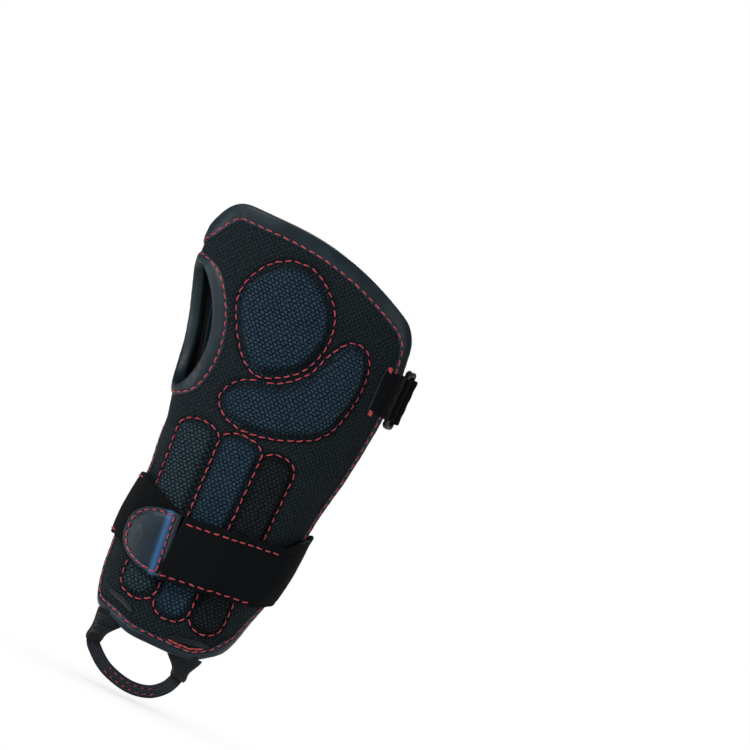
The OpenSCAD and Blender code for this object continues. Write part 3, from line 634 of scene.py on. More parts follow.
# ---- Fabric relief --------------------------------------------------------------------------------
def wave_noise(a, b, scale, seed, octaves=3):
    """Smooth noise from a few crossed waves, about -1 to 1; the same for the same seed."""
    source = np.random.default_rng(seed)
    total = np.zeros(np.broadcast(a, b).shape)
    for k in range(octaves * 5):
        fine = 1 + k % octaves
        turn, phase = source.uniform(0, 2 * math.pi, 2)
        along = a * math.cos(turn) + b * math.sin(turn)
        total += np.sin(along * 2 * math.pi * fine / scale + phase) / fine
    return total / (octaves * 1.6)


def nearest(points, loop):
    """Distance from each point to a dense polyline."""
    tree = kdtree.KDTree(len(loop))
    for i, p in enumerate(loop):
        tree.insert((p[0], p[1], 0), i)
    tree.balance()
    return np.array([tree.find((p[0], p[1], 0))[2] for p in points])


def inside(points, loop):
    """True where a point lies in a closed outline."""
    hit = np.zeros(len(points), bool)
    a, b = loop, np.roll(loop, -1, 0)
    for (x0, y0), (x1, y1) in zip(a, b):
        if y0 == y1:
            continue
        crosses = (points[:, 1] > y0) != (points[:, 1] > y1)
        hit ^= crosses & (points[:, 0] < x0 + (points[:, 1] - y0) * (x1 - x0) / (y1 - y0))
    return hit


def from_view(points):
    """(x, z) points seen from the palm side, as (s, z)."""
    p = np.asarray(points, float)
    return np.stack([s_at_x(p[:, 0], p[:, 1]), p[:, 1]], 1)


# ---- Seams on the palm ----------------------------------------------------------------------------
UPPER_POINTS = [[-36, 68], [-34, 82.5], [-24, 93.3], [-9.5, 94.8], [4.5, 84], [9.5, 69], [5.5, 53.5],
                [-3.5, 44.8], [-15, 41], [-26, 49.5]]
LOWER_POINTS = [[-25, 25.5], [-21.5, 34], [-15, 38.3], [-3, 42], [7.3, 51.5], [12.5, 64], [19, 72.3],
                [27.5, 71], [31.6, 60], [30.5, 43], [24.5, 28], [9, 19.3], [-7, 15.8], [-18.5, 18]]
POCKET_SEAMS = [(-37, -30), (-17, -13), (3.8, 4), (20.5, 20)]
POCKET_LOWS = (-73, -76, -75.5)
POCKET_HIGH = 14


def pocket_x(k, z):
    top, low = POCKET_SEAMS[k]
    return low + (top - low) * np.clip((z + 76) / (POCKET_HIGH + 76), 0, 1)


def pocket_outline(k):
    """U-shaped pocket seam with a rounded top, anticlockwise from the thumb-side top."""
    low, high, r = POCKET_LOWS[k], POCKET_HIGH - 1.5 * abs(k - 1), 8.0
    down = np.linspace(high - r * 0.8, low + r, 60)
    left = np.stack([pocket_x(k, down), down], 1)
    right = np.stack([pocket_x(k + 1, down[::-1]), down[::-1]], 1)
    bend = np.linspace(0, math.pi, 24)[1:-1]
    lx, rx = pocket_x(k, low + r), pocket_x(k + 1, low + r)
    bottom = np.stack([(lx + rx) / 2 - (rx - lx) / 2 * np.cos(bend), low + r - r * np.sin(bend) ** 0.9], 1)
    lx, rx = pocket_x(k, high - r), pocket_x(k + 1, high - r)
    arch = high - r * 0.8 * (1 - np.sin(bend) ** 0.9)
    top = np.stack([(lx + rx) / 2 + (rx - lx) / 2 * np.cos(bend), arch], 1)
    return from_view(np.vstack([left, bottom, right, top]))


SEAMS = {
    "upper": spaced(from_view(round_curve(UPPER_POINTS))[::-1], 0.8, closed=True),
    "lower": spaced(from_view(round_curve(LOWER_POINTS)), 0.8, closed=True),
}
for k in range(3):
    SEAMS[f"pocket{k}"] = spaced(pocket_outline(k), 0.8, closed=True)
PANEL_LOOP = panel_loop()
HOLE_LOOP = hole_loop()
ALL_SEAMS = np.vstack(list(SEAMS.values()))


# ---- Cloth simulation -----------------------------------------------------------------------------
PUFF_STEP, PUFF_SCALE, PUFF_FRAMES = 3.0, 10.0, 20


def puff(box, belongs, held):
    """Cloth simulation, at ten times size, of a sheet sewn down where held(p) is true and pressed out.

    Gives a function of (s, z) points: the rise there as a share of the greatest rise.
    """
    ss, zz, p = flat_grid((box[0], box[1] + PUFF_STEP, box[2], box[3] + PUFF_STEP), PUFF_STEP)
    s, z = ss[0], zz[:, 0]
    j, i = np.nonzero(whole_cells(belongs(p).reshape(ss.shape)))
    corner_at = j * len(s) + i
    faces = np.stack([corner_at, corner_at + 1, corner_at + len(s) + 1, corner_at + len(s)], 1)
    used, flat_faces = np.unique(faces, return_inverse=True)
    start = on_guard(p[used, 0], p[used, 1], 0)
    way = on_guard(p[used, 0], p[used, 1], 1) - start
    way /= np.linalg.norm(way, axis=1, keepdims=True)
    mesh = bpy.data.meshes.new("puff")
    mesh.from_pydata((start * MM * PUFF_SCALE).tolist(), [], flat_faces.reshape(-1, 4).tolist())
    obj = in_scene("puff", mesh)
    sewn = obj.vertex_groups.new(name="sewn")
    sewn.add(np.flatnonzero(held(p[used])).tolist(), 1.0, "REPLACE")
    cloth = obj.modifiers.new("puff", "CLOTH")
    cloth.settings.quality = 6
    cloth.settings.mass = 0.3
    cloth.settings.bending_stiffness = 0.3
    cloth.settings.vertex_group_mass = "sewn"
    cloth.settings.use_pressure = True
    cloth.settings.uniform_pressure_force = 4
    cloth.settings.effector_weights.gravity = 0
    cloth.point_cache.frame_start, cloth.point_cache.frame_end = 1, PUFF_FRAMES
    for number in range(1, PUFF_FRAMES + 1):
        bpy.context.scene.frame_set(number)
    shaped = obj.evaluated_get(bpy.context.evaluated_depsgraph_get()).data
    moved = np.empty(len(used) * 3)
    shaped.vertices.foreach_get("co", moved)
    rise = ((moved.reshape(-1, 3) / (MM * PUFF_SCALE) - start) * way).sum(1)
    bpy.context.scene.frame_set(1)
    bpy.data.objects.remove(obj)
    bpy.data.meshes.remove(mesh)
    share = np.zeros(len(p))
    share[used] = np.clip(rise / max(np.percentile(rise, 97), 1e-6), 0, 1)
    share = share.reshape(ss.shape)

    return lambda q: between(share, (q[:, 0] - s[0]) / PUFF_STEP, (q[:, 1] - z[0]) / PUFF_STEP, eased=True)


# ---- Palm panel and lining ------------------------------------------------------------------------
PANEL_BOX = (-125, 63, -90, 110)


def panel_sheet(name, step, inset, low_d, high_d):
    """Closed sheet over the part of the panel that lies inset inside its edges.

    high_d(points) gives the outer offsets, and low_d(points, outer offsets) the inner ones.
    """
    ss, zz, flat = flat_grid(PANEL_BOX, step)
    t = t_of(ss, zz)
    high = high_d(flat).reshape(ss.shape)
    low = low_d(flat, high.ravel()).reshape(ss.shape)
    faces = shell_faces(*ss.shape, whole_cells(in_panel(t, zz, inset)))
    # Painted shade along the seams, kept in the tone attribute.
    shade = 0.85 * hump(nearest(flat, ALL_SEAMS), 1.5)
    return make_object(name, *drop_loose(two_layers(t, zz, low, high), faces, twice(flat), twice(shade)))


def panel_held(p):
    return (nearest(p, ALL_SEAMS) < 2.0) | ~in_panel(t_of(p[:, 0], p[:, 1]), p[:, 1], 5.0)


def cover_relief(p):
    """Height of the palm cover: drawn in at the seams, puffed and softly uneven between them."""
    near = nearest(p, ALL_SEAMS)
    swell = 0.45 * PANEL_PUFF(p)
    return (swell + 0.2 * wave_noise(p[:, 0], p[:, 1], 26, 3) - 0.45 * hump(near, 1.1)
            + 0.12 * hump(near - 3.2, 1.6))


PANEL_PUFF = puff(PANEL_BOX, lambda p: in_panel(t_of(p[:, 0], p[:, 1]), p[:, 1], 1.0), panel_held)
cover = panel_sheet("palm_cover_cloth", 1.0, 1.4, lambda p, high: high - COVER_T, cover_relief)
fit_out(cover, "mesh", "palm_cover")
lining = panel_sheet("palm_lining_cloth", 1.6, 1.2,
                     lambda p, high: LINING_IN + 0.15 * wave_noise(*p.T, 20, 9),
                     lambda p: np.full(len(p), LINING_IN + LINING_T))
fit_out(lining, "lining", "palm_lining")


# ---- Raised covers --------------------------------------------------------------------------------
def depth_in(p, seam):
    """Distance inside a closed seam, negative outside it."""
    near = nearest(p, seam)
    return np.where(inside(p, seam), near, -near)


def raised_cover(name, seam, flat, slope, top, crown, look, node, seed, step=0.75):
    """Cover sewn along seam: it lies flat for a few millimetres, then climbs over the pad beneath it."""
    low, high = seam.min(0) - 2, seam.max(0) + 2
    box = (low[0], high[0], low[1], high[1])
    ss, zz, p = flat_grid(box, step)
    depth = depth_in(p, seam)
    rise = top * ease((depth - flat) / slope)
    swell = crown * puff(box, lambda q: depth_in(q, seam) > -1, lambda q: depth_in(q, seam) < flat)(p)
    valley = -0.25 * hump(depth - flat * 0.75, 1.0)
    edge = ramp(depth, -1.2, 0.9, -0.7, 0.12)
    d = edge + rise + swell + valley + 0.1 * wave_noise(p[:, 0], p[:, 1], 15, seed)
    d = d.reshape(ss.shape)
    faces = shell_faces(*ss.shape, whole_cells((depth > -1.0).reshape(ss.shape)))
    # Painted shade in the valley along the seam and at the foot of the slope, kept in the tone attribute.
    shade = 0.8 * hump(depth - 0.3, 1.5) + 0.35 * hump(depth - flat - 0.4 * slope, 1.3)
    points = two_layers(t_of(ss, zz), zz, d - 0.6, d)
    obj = make_object(name, *drop_loose(points, faces, twice(p), twice(np.clip(shade, 0, 1))))
    fit_out(obj, look, node)


# Flat rim, width of the slope, height over the pad and extra height of its crown
PAD_RISE = (2.4, 2.2, 3.3, 0.7)
POCKET_RISE = (1.7, 1.6, 2.2, 0.5)
raised_cover("upper_pad_cloth", SEAMS["upper"], *PAD_RISE, "pad", "upper_pad_cover", 21)
raised_cover("lower_pad_cloth", SEAMS["lower"], *PAD_RISE, "pad", "lower_pad_cover", 22)
for k, (node, look) in enumerate((("radial_plate_pocket", "pocket"), ("middle_plate_pocket", "pocket_blue"),
                                  ("ulnar_plate_pocket", "pocket_dark"))):
    raised_cover(node + "_cloth", SEAMS[f"pocket{k}"], *POCKET_RISE, look, node, 31 + k)


def rubber_core(name, seam, node, step=1.5):
    """Rubber pad under its cover, with a rounded rim."""
    low, high = seam.min(0), seam.max(0)
    ss, zz, p = flat_grid((low[0], high[0], low[1], high[1]), step)
    depth = depth_in(p, seam).reshape(ss.shape)
    rim = PAD_RISE[0] + 2.4
    faces = shell_faces(*ss.shape, whole_cells(depth > rim))
    top = 0.4 + 2.1 * ease((depth - rim + 0.2) / 2.4)
    obj = make_object(name, *drop_loose(two_layers(t_of(ss, zz), zz, 0.2, top), faces))
    fit_out(obj, "rubber", node)


rubber_core("upper_rubber_core", SEAMS["upper"], "upper_rubber_pad")
rubber_core("lower_rubber_core", SEAMS["lower"], "lower_rubber_pad")

# ---- Bindings -------------------------------------------------------------------------------------
def band_profile(width, top=0.95):
    """Section of a folded binding as (outward, d): flange, rounded edge, inner flange, and back inside."""
    low = LINING_IN - 0.55
    mid = (top + low) / 2
    half = (top - low) / 2
    turn = np.radians(np.arange(80, -81, -20))
    edge = [(0.1 + 1.15 * math.cos(a) ** 0.8, mid + half * math.sin(a)) for a in turn]
    outer = [(-width, 0.0), (-width - 0.02, 0.32), (-width + 0.5, 0.52), (-width + 0.95, 0.42),
             (-width + 1.5, 0.7), (-width * 0.6, top + 0.08), (-width * 0.3, top + 0.1), (-0.4, top)]
    inner = [(-0.6, low), (-2.6, low + 0.02), (-3.1, low + 0.25), (-3.1, LINING_IN + 0.05),
             (-0.2, LINING_IN + 0.1), (-0.2, -0.1)]
    return outer + edge + inner


def binding(name, loop, side, width, node, look="leather"):
    out = loop_outward(loop) * side
    rings, uvs = [], []
    run = run_length(loop)
    for k, p in enumerate(loop):
        profile = np.array(band_profile(width(p)))
        if side < 0:
            profile = profile[::-1]
        wobble = 1 + 0.05 * math.sin(run[k] * 0.45) + 0.04 * math.sin(run[k] * 1.31)
        e, d = profile[:, 0], np.where(profile[:, 1] > 0.5, profile[:, 1] * wobble, profile[:, 1])
        place = p[None, :] + out[k][None, :] * e[:, None]
        rings.append(on_guard(place[:, 0], place[:, 1], d))
        uvs.append(np.stack([np.full(len(e), run[k]), e + np.abs(d)], 1))
    obj = tube(name, rings, uvs, closed_path=True)
    fit_out(obj, look, node)
    return obj


def edge_width(p):
    """Width of the leather at (s, z): wide along the fingers and at one corner of the forearm edge."""
    t, z = float(t_of(p[0], p[1])), p[1]
    if z < 0:
        share = ease((t - 322) / 18) * ease((-52 - z) / 14)
    elif t < 230:
        share = ease((t - 150) / 30) * ease((z - 70) / 14)
    else:
        share = ease((z - 35) / 37)
    return 3.9 + 3.0 * float(share)


def hole_width(p):
    return float(ramp(t_of(p[0], p[1]), HOLE_T + 5, HOLE_T + 25, 3.8, 6.8))


binding("panel_edge_leather", PANEL_LOOP, 1, edge_width, "palm_edge_binding")
binding("thumb_hole_leather", HOLE_LOOP, -1, hole_width, "thumb_hole_binding")


# ---- Stitches -------------------------------------------------------------------------------------
PITCH, DASH, THREAD_R = 4.3, 3.1, 0.33
SIDES = 8
# Sections of one stitch: place along it, lift and size
SHAPE = [(-0.5, -0.3, 0.55), (-0.36, 0.12, 0.9), (-0.12, 0.26, 1.0),
         (0.12, 0.26, 1.0), (0.36, 0.12, 0.9), (0.5, -0.3, 0.55)]
stitch_sets = {}


def sew(group, points, normals, pitch=PITCH, dash=DASH, radius=THREAD_R, closed=False, tone=0.35):
    """Adds a row of stitches along a path to a group; group is the piece the thread ends up in."""
    points, normals = np.asarray(points, float), np.asarray(normals, float)
    joined = np.hstack([points, normals])
    if closed:
        joined = np.vstack([joined, joined[:1]])
    run = run_length(joined[:, :3])
    count = max(1, int(round(run[-1] / pitch)))
    verts, faces, uvs, tones = stitch_sets.setdefault(group, ([], [], [], []))
    for k in range(count):
        middle = (k + 0.5) * run[-1] / count + rng.uniform(-0.15, 0.15)
        length = dash * rng.uniform(0.88, 1.08)
        this_tone = float(np.clip(tone + rng.normal(0, 0.22), 0, 1))
        lean = rng.uniform(-0.18, 0.18)
        base = len(verts)
        for along, lift, size in SHAPE:
            at = np.clip(middle + along * length, 0, run[-1])
            behind, here, ahead = (
                np.array([np.interp(np.clip(at + ds, 0, run[-1]), run, column) for column in joined.T])
                for ds in (-0.3, 0, 0.3))
            way = (ahead - behind)[:3]
            way = way / max(np.linalg.norm(way), 1e-6)
            up = here[3:] / np.linalg.norm(here[3:])
            across = np.cross(way, up)
            centre = here[:3] + up * lift + across * lean * along * length
            for q in range(SIDES):
                a = 2 * math.pi * q / SIDES
                verts.append(centre + (across * math.cos(a) + up * math.sin(a) * 0.8) * radius * size)
                uvs.append((at, a))
                tones.append(this_tone)
        for j in range(len(SHAPE) - 1):
            a, b = base + j * SIDES, base + (j + 1) * SIDES
            faces.extend((a + q, b + q, b + (q + 1) % SIDES, a + (q + 1) % SIDES) for q in range(SIDES))
        faces.append(tuple(base + q for q in range(SIDES)))
        last = base + (len(SHAPE) - 1) * SIDES
        faces.append(tuple(last + q for q in range(SIDES - 1, -1, -1)))


def with_normals(place, a, b, d):
    """3-D points at offset d and their outward normals; place(a, b, d) gives the points."""
    low = place(a, b, d)
    return low, place(a, b, d + 1) - low


def lay(path, d):
    """Points and normals of an (s, z) path at offset d."""
    return with_normals(on_guard, path[:, 0], path[:, 1], d)


def sew_loop(group, loop, d, closed=True, **more):
    sew(group, *lay(loop, d), closed=closed, **more)


def flange_line(loop, side, width):
    """Line of the stitches on a binding, just inside its flange's edge."""
    inset = np.array([width(p) for p in loop])[:, None] - FLANGE_INSET
    return loop - side * loop_outward(loop) * inset


FLANGE_INSET, FLANGE_D, SEAM_D = 0.95, 0.5, 0.25
edge_line = flange_line(PANEL_LOOP, 1, edge_width)
sew_loop("shell", smooth_loop(edge_line, 3), FLANGE_D, tone=0.25)
sew_loop("shell", smooth_loop(flange_line(HOLE_LOOP, -1, hole_width), 3), FLANGE_D, tone=0.3)


def fresh_runs(path, others, gap):
    """The parts of a closed path that lie further than gap from other paths, as open paths."""
    free = nearest(path, others) > gap
    if free.all():
        return [path]
    start = int(np.argmin(free))
    path, free = np.roll(path, -start, 0), np.roll(free, -start)
    marks = np.flatnonzero(np.diff(np.concatenate([[0], free.astype(int), [0]])))
    return [path[a:b] for a, b in zip(marks[::2], marks[1::2]) if b - a > 8]


sew_loop("shell", SEAMS["upper"], SEAM_D, tone=0.2)
for path in fresh_runs(SEAMS["lower"], SEAMS["upper"], 1.8):
    sew_loop("shell", path, SEAM_D, closed=False, tone=0.2)
sew_loop("shell", SEAMS["pocket0"], SEAM_D, tone=0.3)
for k in (1, 2):
    for path in fresh_runs(SEAMS[f"pocket{k}"], SEAMS[f"pocket{k - 1}"], 1.3):
        sew_loop("shell", path, SEAM_D, closed=False, tone=0.3)


# ---- Back of the hand -----------------------------------------------------------------------------
def back_top(f):
    return 69 + 14 * f + 6 * np.sin(math.pi * f)


def back_low(f):
    return -66 - 3 * f - 9 * np.sin(math.pi * f)


def back_t(f, z):
    """Angle at share f of the way round the back, from the little-finger seam to the thumb seam."""
    m = per_degree(400, z)
    a, b = ULNAR_SEAM + 0.5 / m, 360 + thumb_seam(z) - 0.5 / m
    return a + (b - a) * f


def strap_press(t, z):
    """1 where a strap presses on the back panel."""
    wrist = np.exp(-np.clip(np.abs(z + 34) - 15, 0, None) ** 2 / 12)
    hand_mid = ramp(t, 380, 500, 58, 63)
    length = ramp(t, 392, 404, 0, 1) * ramp(t, 489, 497, 1, 0)
    hand = np.exp(-np.clip(np.abs(z - hand_mid) - 11, 0, None) ** 2 / 10) * length
    return np.maximum(wrist, hand)


def back_relief(t, z):
    free = 1 - strap_press(t, z)
    side = np.sin(np.clip((t - 354) / 182, 0, 1) * math.pi) ** 0.5
    folds = 0.5 * wave_noise(t * 0.75, z * 1.4, 42, 41) + 0.22 * wave_noise(t * 0.75, z * 2.0, 17, 42)
    return side * (0.35 + folds) * (0.25 + 0.75 * free)


def back_sheet(name, low, high, rows, cols):
    f = np.linspace(0, 1, cols)[None, :]
    share = np.linspace(0, 1, rows)[:, None]
    z = back_low(f) * (1 - share) + back_top(f) * share
    t = back_t(f, z)
    relief = back_relief(t, z)
    points = two_layers(t, z, low + relief * 0.6, high + relief)
    flat = np.stack([s_of(t, z).ravel(), z.ravel()], 1)
    obj = make_object(name, points, shell_faces(rows, cols), twice(flat))
    fit_out(obj, "stretch", "back_panel")


back_sheet("back_panel_knit", LINING_IN, BACK_OUT, 110, 120)

TAPE_W = 7


def rim_tape(name, edge, way, node):
    """Elastic tape folded over the back panel's rim; way is 1 where the panel lies above the rim."""
    f = np.linspace(0, 1, 150)
    outer = [(TAPE_W, 0.12), (TAPE_W - 0.3, 0.62), (4.9, 0.78), (2.6, 0.9), (0.4, 0.95), (-0.5, 0.6)]
    inner = [(-0.5, -0.35), (0.4, -0.6), (TAPE_W * 0.8, -0.55), (TAPE_W * 0.8, -0.05), (0.2, 0.1)]
    profile = [(e, BACK_OUT + d) for e, d in outer] + [(-0.85, (BACK_OUT + LINING_IN) / 2)]
    profile += [(e, LINING_IN + d) for e, d in inner] + [(0.2, BACK_OUT - 0.1)]
    rings, uvs = [], []
    for share in f:
        across = np.array([p[0] for p in profile])
        z = edge(share) + way * across
        t = back_t(share, z)
        d = np.array([p[1] for p in profile]) + back_relief(t, z) * 0.9
        rings.append(skin(t, z, d))
        uvs.append(np.stack([s_of(t, z), across], 1))
    obj = tube(name, rings, uvs)
    fit_out(obj, "webbing", node)
    for inset in (1.3, TAPE_W - 1.1):
        z = edge(f) + way * inset
        t = back_t(f, z)
        d = BACK_OUT + 0.78 + back_relief(t, z) * 0.9
        row = (values[4:-4] for values in with_normals(skin, t, z, d))
        sew("back_edges", *row, pitch=3.2, dash=2.3, radius=0.26, tone=0.5)


rim_tape("back_top_elastic", back_top, -1, "back_top_tape")
rim_tape("back_forearm_elastic", back_low, 1, "back_forearm_tape")


# ---- Straps ---------------------------------------------------------------------------------------
FIT, STRAP_T, LAYER, HOOK_T = 0.25, 1.8, 0.15, 0.9
OVER_POCKETS, OVER_BINDING, OVER_BACK = 2.95, 1.45, BACK_OUT + FIT
OVER_HOOK = OVER_POCKETS + STRAP_T + LAYER + HOOK_T + LAYER
STRAP_HALF, ROOT_HALF, ROOT_Z = 15.5, 18.0, -32.5
FLAP_END_X, TAB_END_X, BAND_END_X = -17, -38.5, 3
TAB_Z = -45.2
BOTH_ROWS = (2.1, 2.1)


def flap_z(x):
    return TAB_Z + 0.125 * (np.maximum(x, -15) + 15) + ramp(x, 26, 39, 0, 6)


def flap_d(x):
    near_hook = np.where(x < 5, OVER_HOOK, ramp(x, 5, 17, OVER_HOOK, OVER_POCKETS))
    return np.where(x < 26, near_hook, ramp(x, 26, 35, OVER_POCKETS, OVER_BINDING))


def band_d(t):
    side = ramp(t, 366, 400, OVER_BINDING, OVER_BACK)
    back = ramp(t, 500, 534, OVER_BACK, OVER_BINDING)
    palm = ramp(t, 555, 582, OVER_BINDING, OVER_POCKETS)
    return np.where(t < 450, side, np.where(t < 555, back, palm))


def flap_line(t):
    """(height, half width, offset) of the wrist flap's inner face at angle t."""
    x = skin(t, -42, ramp(t, 260, 310, OVER_HOOK, 0))[..., 0]
    palm = t < 360
    z = np.where(palm, flap_z(x), ramp(t, 360, 440, ROOT_Z, -34))
    half = np.where(palm, ramp(x, 26, 39, STRAP_HALF, ROOT_HALF), ramp(t, 362, 400, ROOT_HALF, STRAP_HALF))
    return z, half, np.where(palm, flap_d(x), band_d(t))


def band_line(t):
    x = skin(t, -42, 0)[..., 0]
    palm_z = flap_z(x) + np.maximum(0, FLAP_END_X - x) * 0.42
    mix = ease((t - 540) / 30)
    back_z = ramp(t, 360, 440, ROOT_Z, -34) + ramp(t, 450, 540, 0, -2)
    z = np.where(t > 540, -36 + (palm_z + 36) * mix, back_z)
    return z, ramp(t, 362, 400, ROOT_HALF, STRAP_HALF), band_d(t)


def strap_cloth(name, t, line, thick, seed, across=26, ripple=0.14, lift=None, rows=BOTH_ROWS, look="loop"):
    """Strap with rounded edges, drawn in along the stitch rows at its lower and upper edge.

    line gives (z, half width, inner offset).
    """
    z, half, d_in = line(t)
    lift = np.zeros(len(t)) if lift is None else lift
    run = s_of(t, z)
    radius = thick / 2
    bend = np.radians([60, 25, -25, -60])
    top = np.linspace(-1, 1, across)
    low = np.linspace(1, -1, across // 2)
    rings, uvs = [], []
    for k in range(len(t)):
        h = half[k] - radius
        end = min(k, len(t) - 1 - k)
        squeeze = (0.5, 0.82)[end] if end < 2 else 1.0
        w = np.concatenate([top * h, h + radius * np.cos(bend), low * h, -h - radius * np.cos(bend)])
        crown = 0.12 * np.cos(top * 1.4)
        row_in = np.where(top < 0, rows[0], rows[1])
        drawn = -0.3 * hump(np.abs(top) * h - (half[k] - row_in), 0.8)
        wave = ripple * wave_noise(np.full(across, run[k]), top * h, 19, seed)
        edge_wave = 0.16 * math.sin(run[k] * 0.31 + seed) + 0.1 * math.sin(run[k] * 0.83)
        side = np.sin(bend) * radius
        face = radius + crown + drawn + wave
        e = np.concatenate([face, side, np.full(len(low), -radius), -side]) * squeeze
        w = w + np.sign(w) * edge_wave * (np.abs(w) / half[k]) ** 4
        rings.append(skin(t[k], z[k] + w, d_in[k] + radius + e + lift[k]))
        uvs.append(np.stack([np.full(len(w), run[k]), w], 1))
    obj = tube(name, rings, uvs)
    return dress(obj, look)


def sew_strap(group, t, line, thick, rows, **more):
    """Stitch rows along a strap, inset from its lower and upper edge."""
    z, half, d_in = line(t)
    d = d_in + thick - 0.12
    for way, inset in zip((-1, 1), rows):
        sew(group, *with_normals(skin, t, z + way * (half - inset), d), **more)


def even_angles(a, b, step, z=-45.0):
    """Angles from a to b at an even arc length."""
    dense = np.linspace(a, b, 600)
    run = s_of(dense, z)
    n = max(4, int(round(abs(run[-1] - run[0]) / step)))
    return np.interp(np.linspace(run[0], run[-1], n + 1), run, dense)


BAND_START_T, FLAP_TAIL_T = 371.0, 375.0
band_t = even_angles(BAND_START_T, 360 + float(palm_angle(BAND_END_X, -50)), 1.5)
tucked = ramp(band_t, BAND_START_T, 380, -0.35, 0)
band = strap_cloth("wrist_strap_cloth", band_t, band_line, STRAP_T, 51, lift=tucked)
stand_in(band, "wrist_strap_band", "shell")
sew_strap("shell", even_angles(384, 560, 1.5), band_line, STRAP_T, BOTH_ROWS, tone=0.3)

FLAP_ROWS = (2.0, 3.4)
flap_start = float(palm_angle(FLAP_END_X + 0.6, -45, OVER_HOOK))
flap_t = even_angles(flap_start, FLAP_TAIL_T, 1.3)
flap = strap_cloth("wrist_flap_cloth", flap_t, flap_line, STRAP_T, 52, 34, 0.2, rows=FLAP_ROWS)
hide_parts("wrist_strap_flap")
wrist_hinge = ((0.039, 0.008, -0.031), (0.039, -0.008, -0.031))
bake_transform(flap)
sew_strap("wrist_flap", even_angles(flap_start + 2, 314, 1.5), flap_line, STRAP_T, FLAP_ROWS, tone=0.2)

hook_t = even_angles(flap_start + 1, float(palm_angle(BAND_END_X - 2, -45, OVER_HOOK)), 1.5)


def hook_line(t):
    z, half, d_in = flap_line(t)
    return z, np.full(len(t), STRAP_HALF - 3), d_in - LAYER - HOOK_T + 0.1


hook = strap_cloth("wrist_hook_tape", hook_t, hook_line, HOOK_T, 53, 16, 0.04, look="hook")
stand_in(hook, "wrist_strap_hook", "wrist_flap")


# ---- Leather tabs ---------------------------------------------------------------------------------
# Width of the painted highlight along the wrist tab's fold
FOLD_HIGHLIGHT_WIDTH = 1.3
# Rings of a leather patch, as shares of the way from its rim to its middle
PATCH_RINGS = np.array([0, 0.6, 1.8, 3.5, 5.5, 8, 11, 14.5, 19, 25, 33, 43, 55, 70, 85]) / 100


def patch(name, outline, spot, d_in, d_out, fold_highlight_at=None):
    """Leather pad inside an outline of (a, z); spot(a, z, d) gives 3-D points, d_out(depth, p) the face."""
    centre = outline.mean(0)
    shares = 1 - PATCH_RINGS
    n = len(outline)
    flat = np.vstack([centre + s * (outline - centre) for s in shares] + [centre[None, :]])
    depth = nearest(flat, outline)
    high, low = d_out(depth, flat), np.full(len(flat), d_in)
    points = np.vstack([spot(flat[:, 0], flat[:, 1], low), spot(flat[:, 0], flat[:, 1], high)])
    total = len(flat)
    faces = []
    for base in (0, total):
        for j in range(len(shares) - 1):
            a, b = base + j * n, base + (j + 1) * n
            faces += [(a + i, a + (i + 1) % n, b + (i + 1) % n, b + i) for i in range(n)]
        last = base + (len(shares) - 1) * n
        faces += [(last + i, last + (i + 1) % n, base + total - 1) for i in range(n)]
    faces += [(i, (i + 1) % n, total + (i + 1) % n, total + i) for i in range(n)]
    # Painted highlight along the tab's fold, kept in the tone attribute.
    tone = np.zeros(len(flat)) if fold_highlight_at is None else hump(flat[:, 0] - fold_highlight_at, FOLD_HIGHLIGHT_WIDTH)
    obj = make_object(name, points, faces, twice(flat), twice(tone))
    return dress(obj, "tab_leather")


def rolled_edge(thick, depth, rim=0.25, groove=2.3):
    """Thickness of a leather tab: rounded edge, raised rim, groove along the stitches, soft crown inside."""
    body = thick * np.sqrt(np.clip(1 - (1 - np.clip(depth / 0.9, 0, 1)) ** 2, 0.09, 1))
    return (body + rim * hump(depth - 1.1, 0.6) - 0.28 * hump(depth - groove, 0.6)
            + 0.35 * np.clip((depth - groove) / 9, 0, 1))


def d_outline(root, tip, mid, half, power=2.5, per=100):
    """D shape from a straight root side round to a tip: (x, z) points."""
    a = np.linspace(-math.pi / 2, math.pi / 2, per)
    x = root + (tip - root) * signed_power(np.cos(a), 2 / power)
    z = mid + half * signed_power(np.sin(a), 2 / power)
    curve = np.stack([x, z], 1)
    side = np.linspace(z[-1], z[0], 30)[1:-1]
    return spaced(np.vstack([curve, np.stack([np.full(len(side), root), side], 1)]), 0.7, closed=True)


def on_tab(x, z, d):
    return skin(palm_angle(x - 0.105 * (z - TAB_Z), z, OVER_HOOK), z, d)


TAB_T = 1.5
tab_outline = d_outline(-15.4, TAB_END_X + 0.2, TAB_Z, STRAP_HALF - 0.2)


def tab_face(depth, p):
    return OVER_HOOK + rolled_edge(TAB_T, depth) + 0.12 * wave_noise(p[:, 0], p[:, 1], 16, 61)


# The wrist tab gets a painted highlight along its fold.
tab = patch("wrist_tab_leather", tab_outline, on_tab, OVER_HOOK + 0.02, tab_face, fold_highlight_at=-20.4)
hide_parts("wrist_strap_tab")
tab_bend = ((-0.015, -0.0318, TAB_Z * MM), (-0.021, -0.0318, TAB_Z * MM))
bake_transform(tab)
tab_seam = d_outline(-18.3, TAB_END_X + 2.4, TAB_Z, STRAP_HALF - 2.3)


def sew_patch(group, seam, spot, d, **more):
    """Closed row of stitches on a leather patch whose face lies at d."""
    sew(group, *with_normals(spot, seam[:, 0], seam[:, 1], d + 0.05), closed=True, **more)


sew_patch("wrist_tab", tab_seam, on_tab, OVER_HOOK + TAB_T, tone=0.15, pitch=3.9, dash=2.8)


# ---- Ring and hand strap --------------------------------------------------------------------------
RING_Z, RING_LEN, RING_REACH, RING_R, RING_LEAN = 58.0, 29.0, 7.0, 1.3, math.radians(72)
inner_bar = skin(366, RING_Z, 2.6)[:2]
lean_way = np.array([math.cos(RING_LEAN), math.sin(RING_LEAN)])
outer_bar = inner_bar + RING_REACH * lean_way


